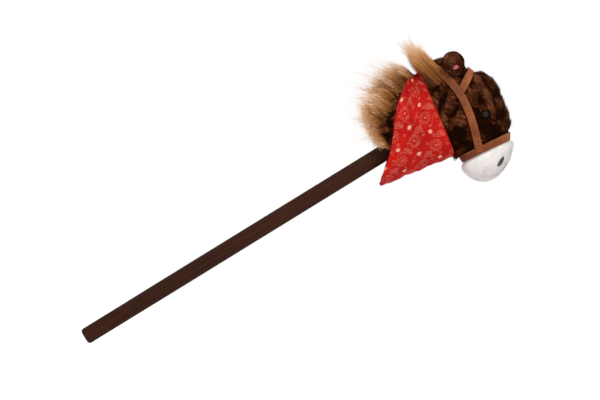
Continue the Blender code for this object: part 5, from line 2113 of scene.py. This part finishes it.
@dataclass
class Studio:
    """A white floor, soft lamps and the camera at the photograph's angle.

    Attributes:
        aim: The point in the middle of the picture.
        distance: How far the camera is from it.
        right: The way across the picture.
        up: The way up the picture.
        lens: The camera's focal length in millimetres.
        sensor: The width of its sensor in millimetres.
        lit: The point that the lamps face.
        lamps: Each lamp's name, place, width and power in watts.
        floor_size: The floor's width.
        floor_gap: How far it is below the foot.
        glow: How much of the white that the camera sees is glow.
    """

    aim: tuple = (-0.0056, 0.0, 0.3689)
    distance: float = 7.232
    right: tuple = (0.5244, 0.0, 0.8515)
    up: tuple = (-0.8515, 0.0, 0.5244)
    lens: float = 300.0
    sensor: float = 36.0
    lit: tuple = (0.0, 0.0, 0.5)
    lamps: tuple = (
        ("key_lamp", (-1.3, -2.0, 1.9), 0.9, 46.0),
        ("fill_lamp", (1.9, -1.5, 0.9), 1.6, 14.0),
        ("back_lamp", (0.2, 2.2, 1.8), 1.6, 8.0),
    )
    floor_size: float = 14.0
    floor_gap: float = 0.0005
    glow: float = 0.45

    def build_floor(self) -> None:
        """Lay the floor, white to the camera but with the toy's shadow on it."""
        bpy.ops.object.select_all(action="DESELECT")
        bpy.ops.mesh.primitive_plane_add(size=self.floor_size, location=(0.0, 0.0, -self.floor_gap))
        floor = bpy.context.active_object
        floor.name = "studio_floor"
        look = Material("studio_white", 0.95)
        look.colour((0.9, 0.9, 0.9))
        glow = seen_by(look.tree, "Camera", "Glossy") * self.glow
        look.fill(look.shader, {"Emission Color": (1.0, 1.0, 1.0), "Emission Strength": glow})
        paint(floor, look)

    def build_world(self) -> None:
        """Make the world white to the camera and a plain soft grey to the toy."""
        world = bpy.data.worlds.new("studio")
        bpy.context.scene.world = world
        world.use_nodes = True
        back = world.node_tree.nodes["Background"]
        back.inputs["Color"].default_value = (1.0, 1.0, 1.0, 1.0)
        glow = seen_by(world.node_tree, "Camera", "Glossy", "Transmission") * self.glow + (1.0 - self.glow)
        world.node_tree.links.new(glow.link, back.inputs["Strength"])

    def lamp(self, name: str, place: tuple, size: float, power: float) -> None:
        """Hang one square soft lamp that faces the head.

        Args:
            name: The lamp's name.
            place: Where it hangs.
            size: How wide it is.
            power: How strong it is, in watts.
        """
        data = bpy.data.lights.new(name, "AREA")
        data.shape, data.size, data.energy = "SQUARE", size, power
        thing = bpy.data.objects.new(name, data)
        bpy.context.scene.collection.objects.link(thing)
        thing.location = place
        thing.rotation_euler = (Vector(self.lit) - Vector(place)).to_track_quat("-Z", "Y").to_euler()

    def build(self) -> None:
        """Set up floor, world, lamps, camera and the plain colour view."""
        self.build_floor()
        self.build_world()
        for lamp in self.lamps:
            self.lamp(*lamp)
        data = bpy.data.cameras.new("camera")
        data.lens, data.sensor_width = self.lens, self.sensor
        camera = bpy.data.objects.new("camera", data)
        bpy.context.scene.collection.objects.link(camera)
        turn = Matrix((Vector(self.right), Vector(self.up), Vector((0.0, -1.0, 0.0)))).transposed()
        place = Vector(self.aim) + Vector((0.0, -self.distance, 0.0))
        camera.matrix_world = Matrix.Translation(place) @ turn.to_4x4()
        bpy.context.scene.camera = camera
        bpy.context.scene.view_settings.view_transform = "Standard"


def main() -> None:
    """Dress the frame piece by piece and light it."""
    logging.basicConfig(level=logging.INFO, format="%(message)s")
    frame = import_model()
    nodes = frame["nodes"]
    Studio().build()
    Plush(nodes, Neighbours(nodes), np.random.default_rng(2)).build()
    Bridle().build()
    Bandana().build()
    Mane(np.random.default_rng(4)).build()
    Trim(nodes).build()
    Hardware(nodes).build()


if __name__ == "__main__":
    main()
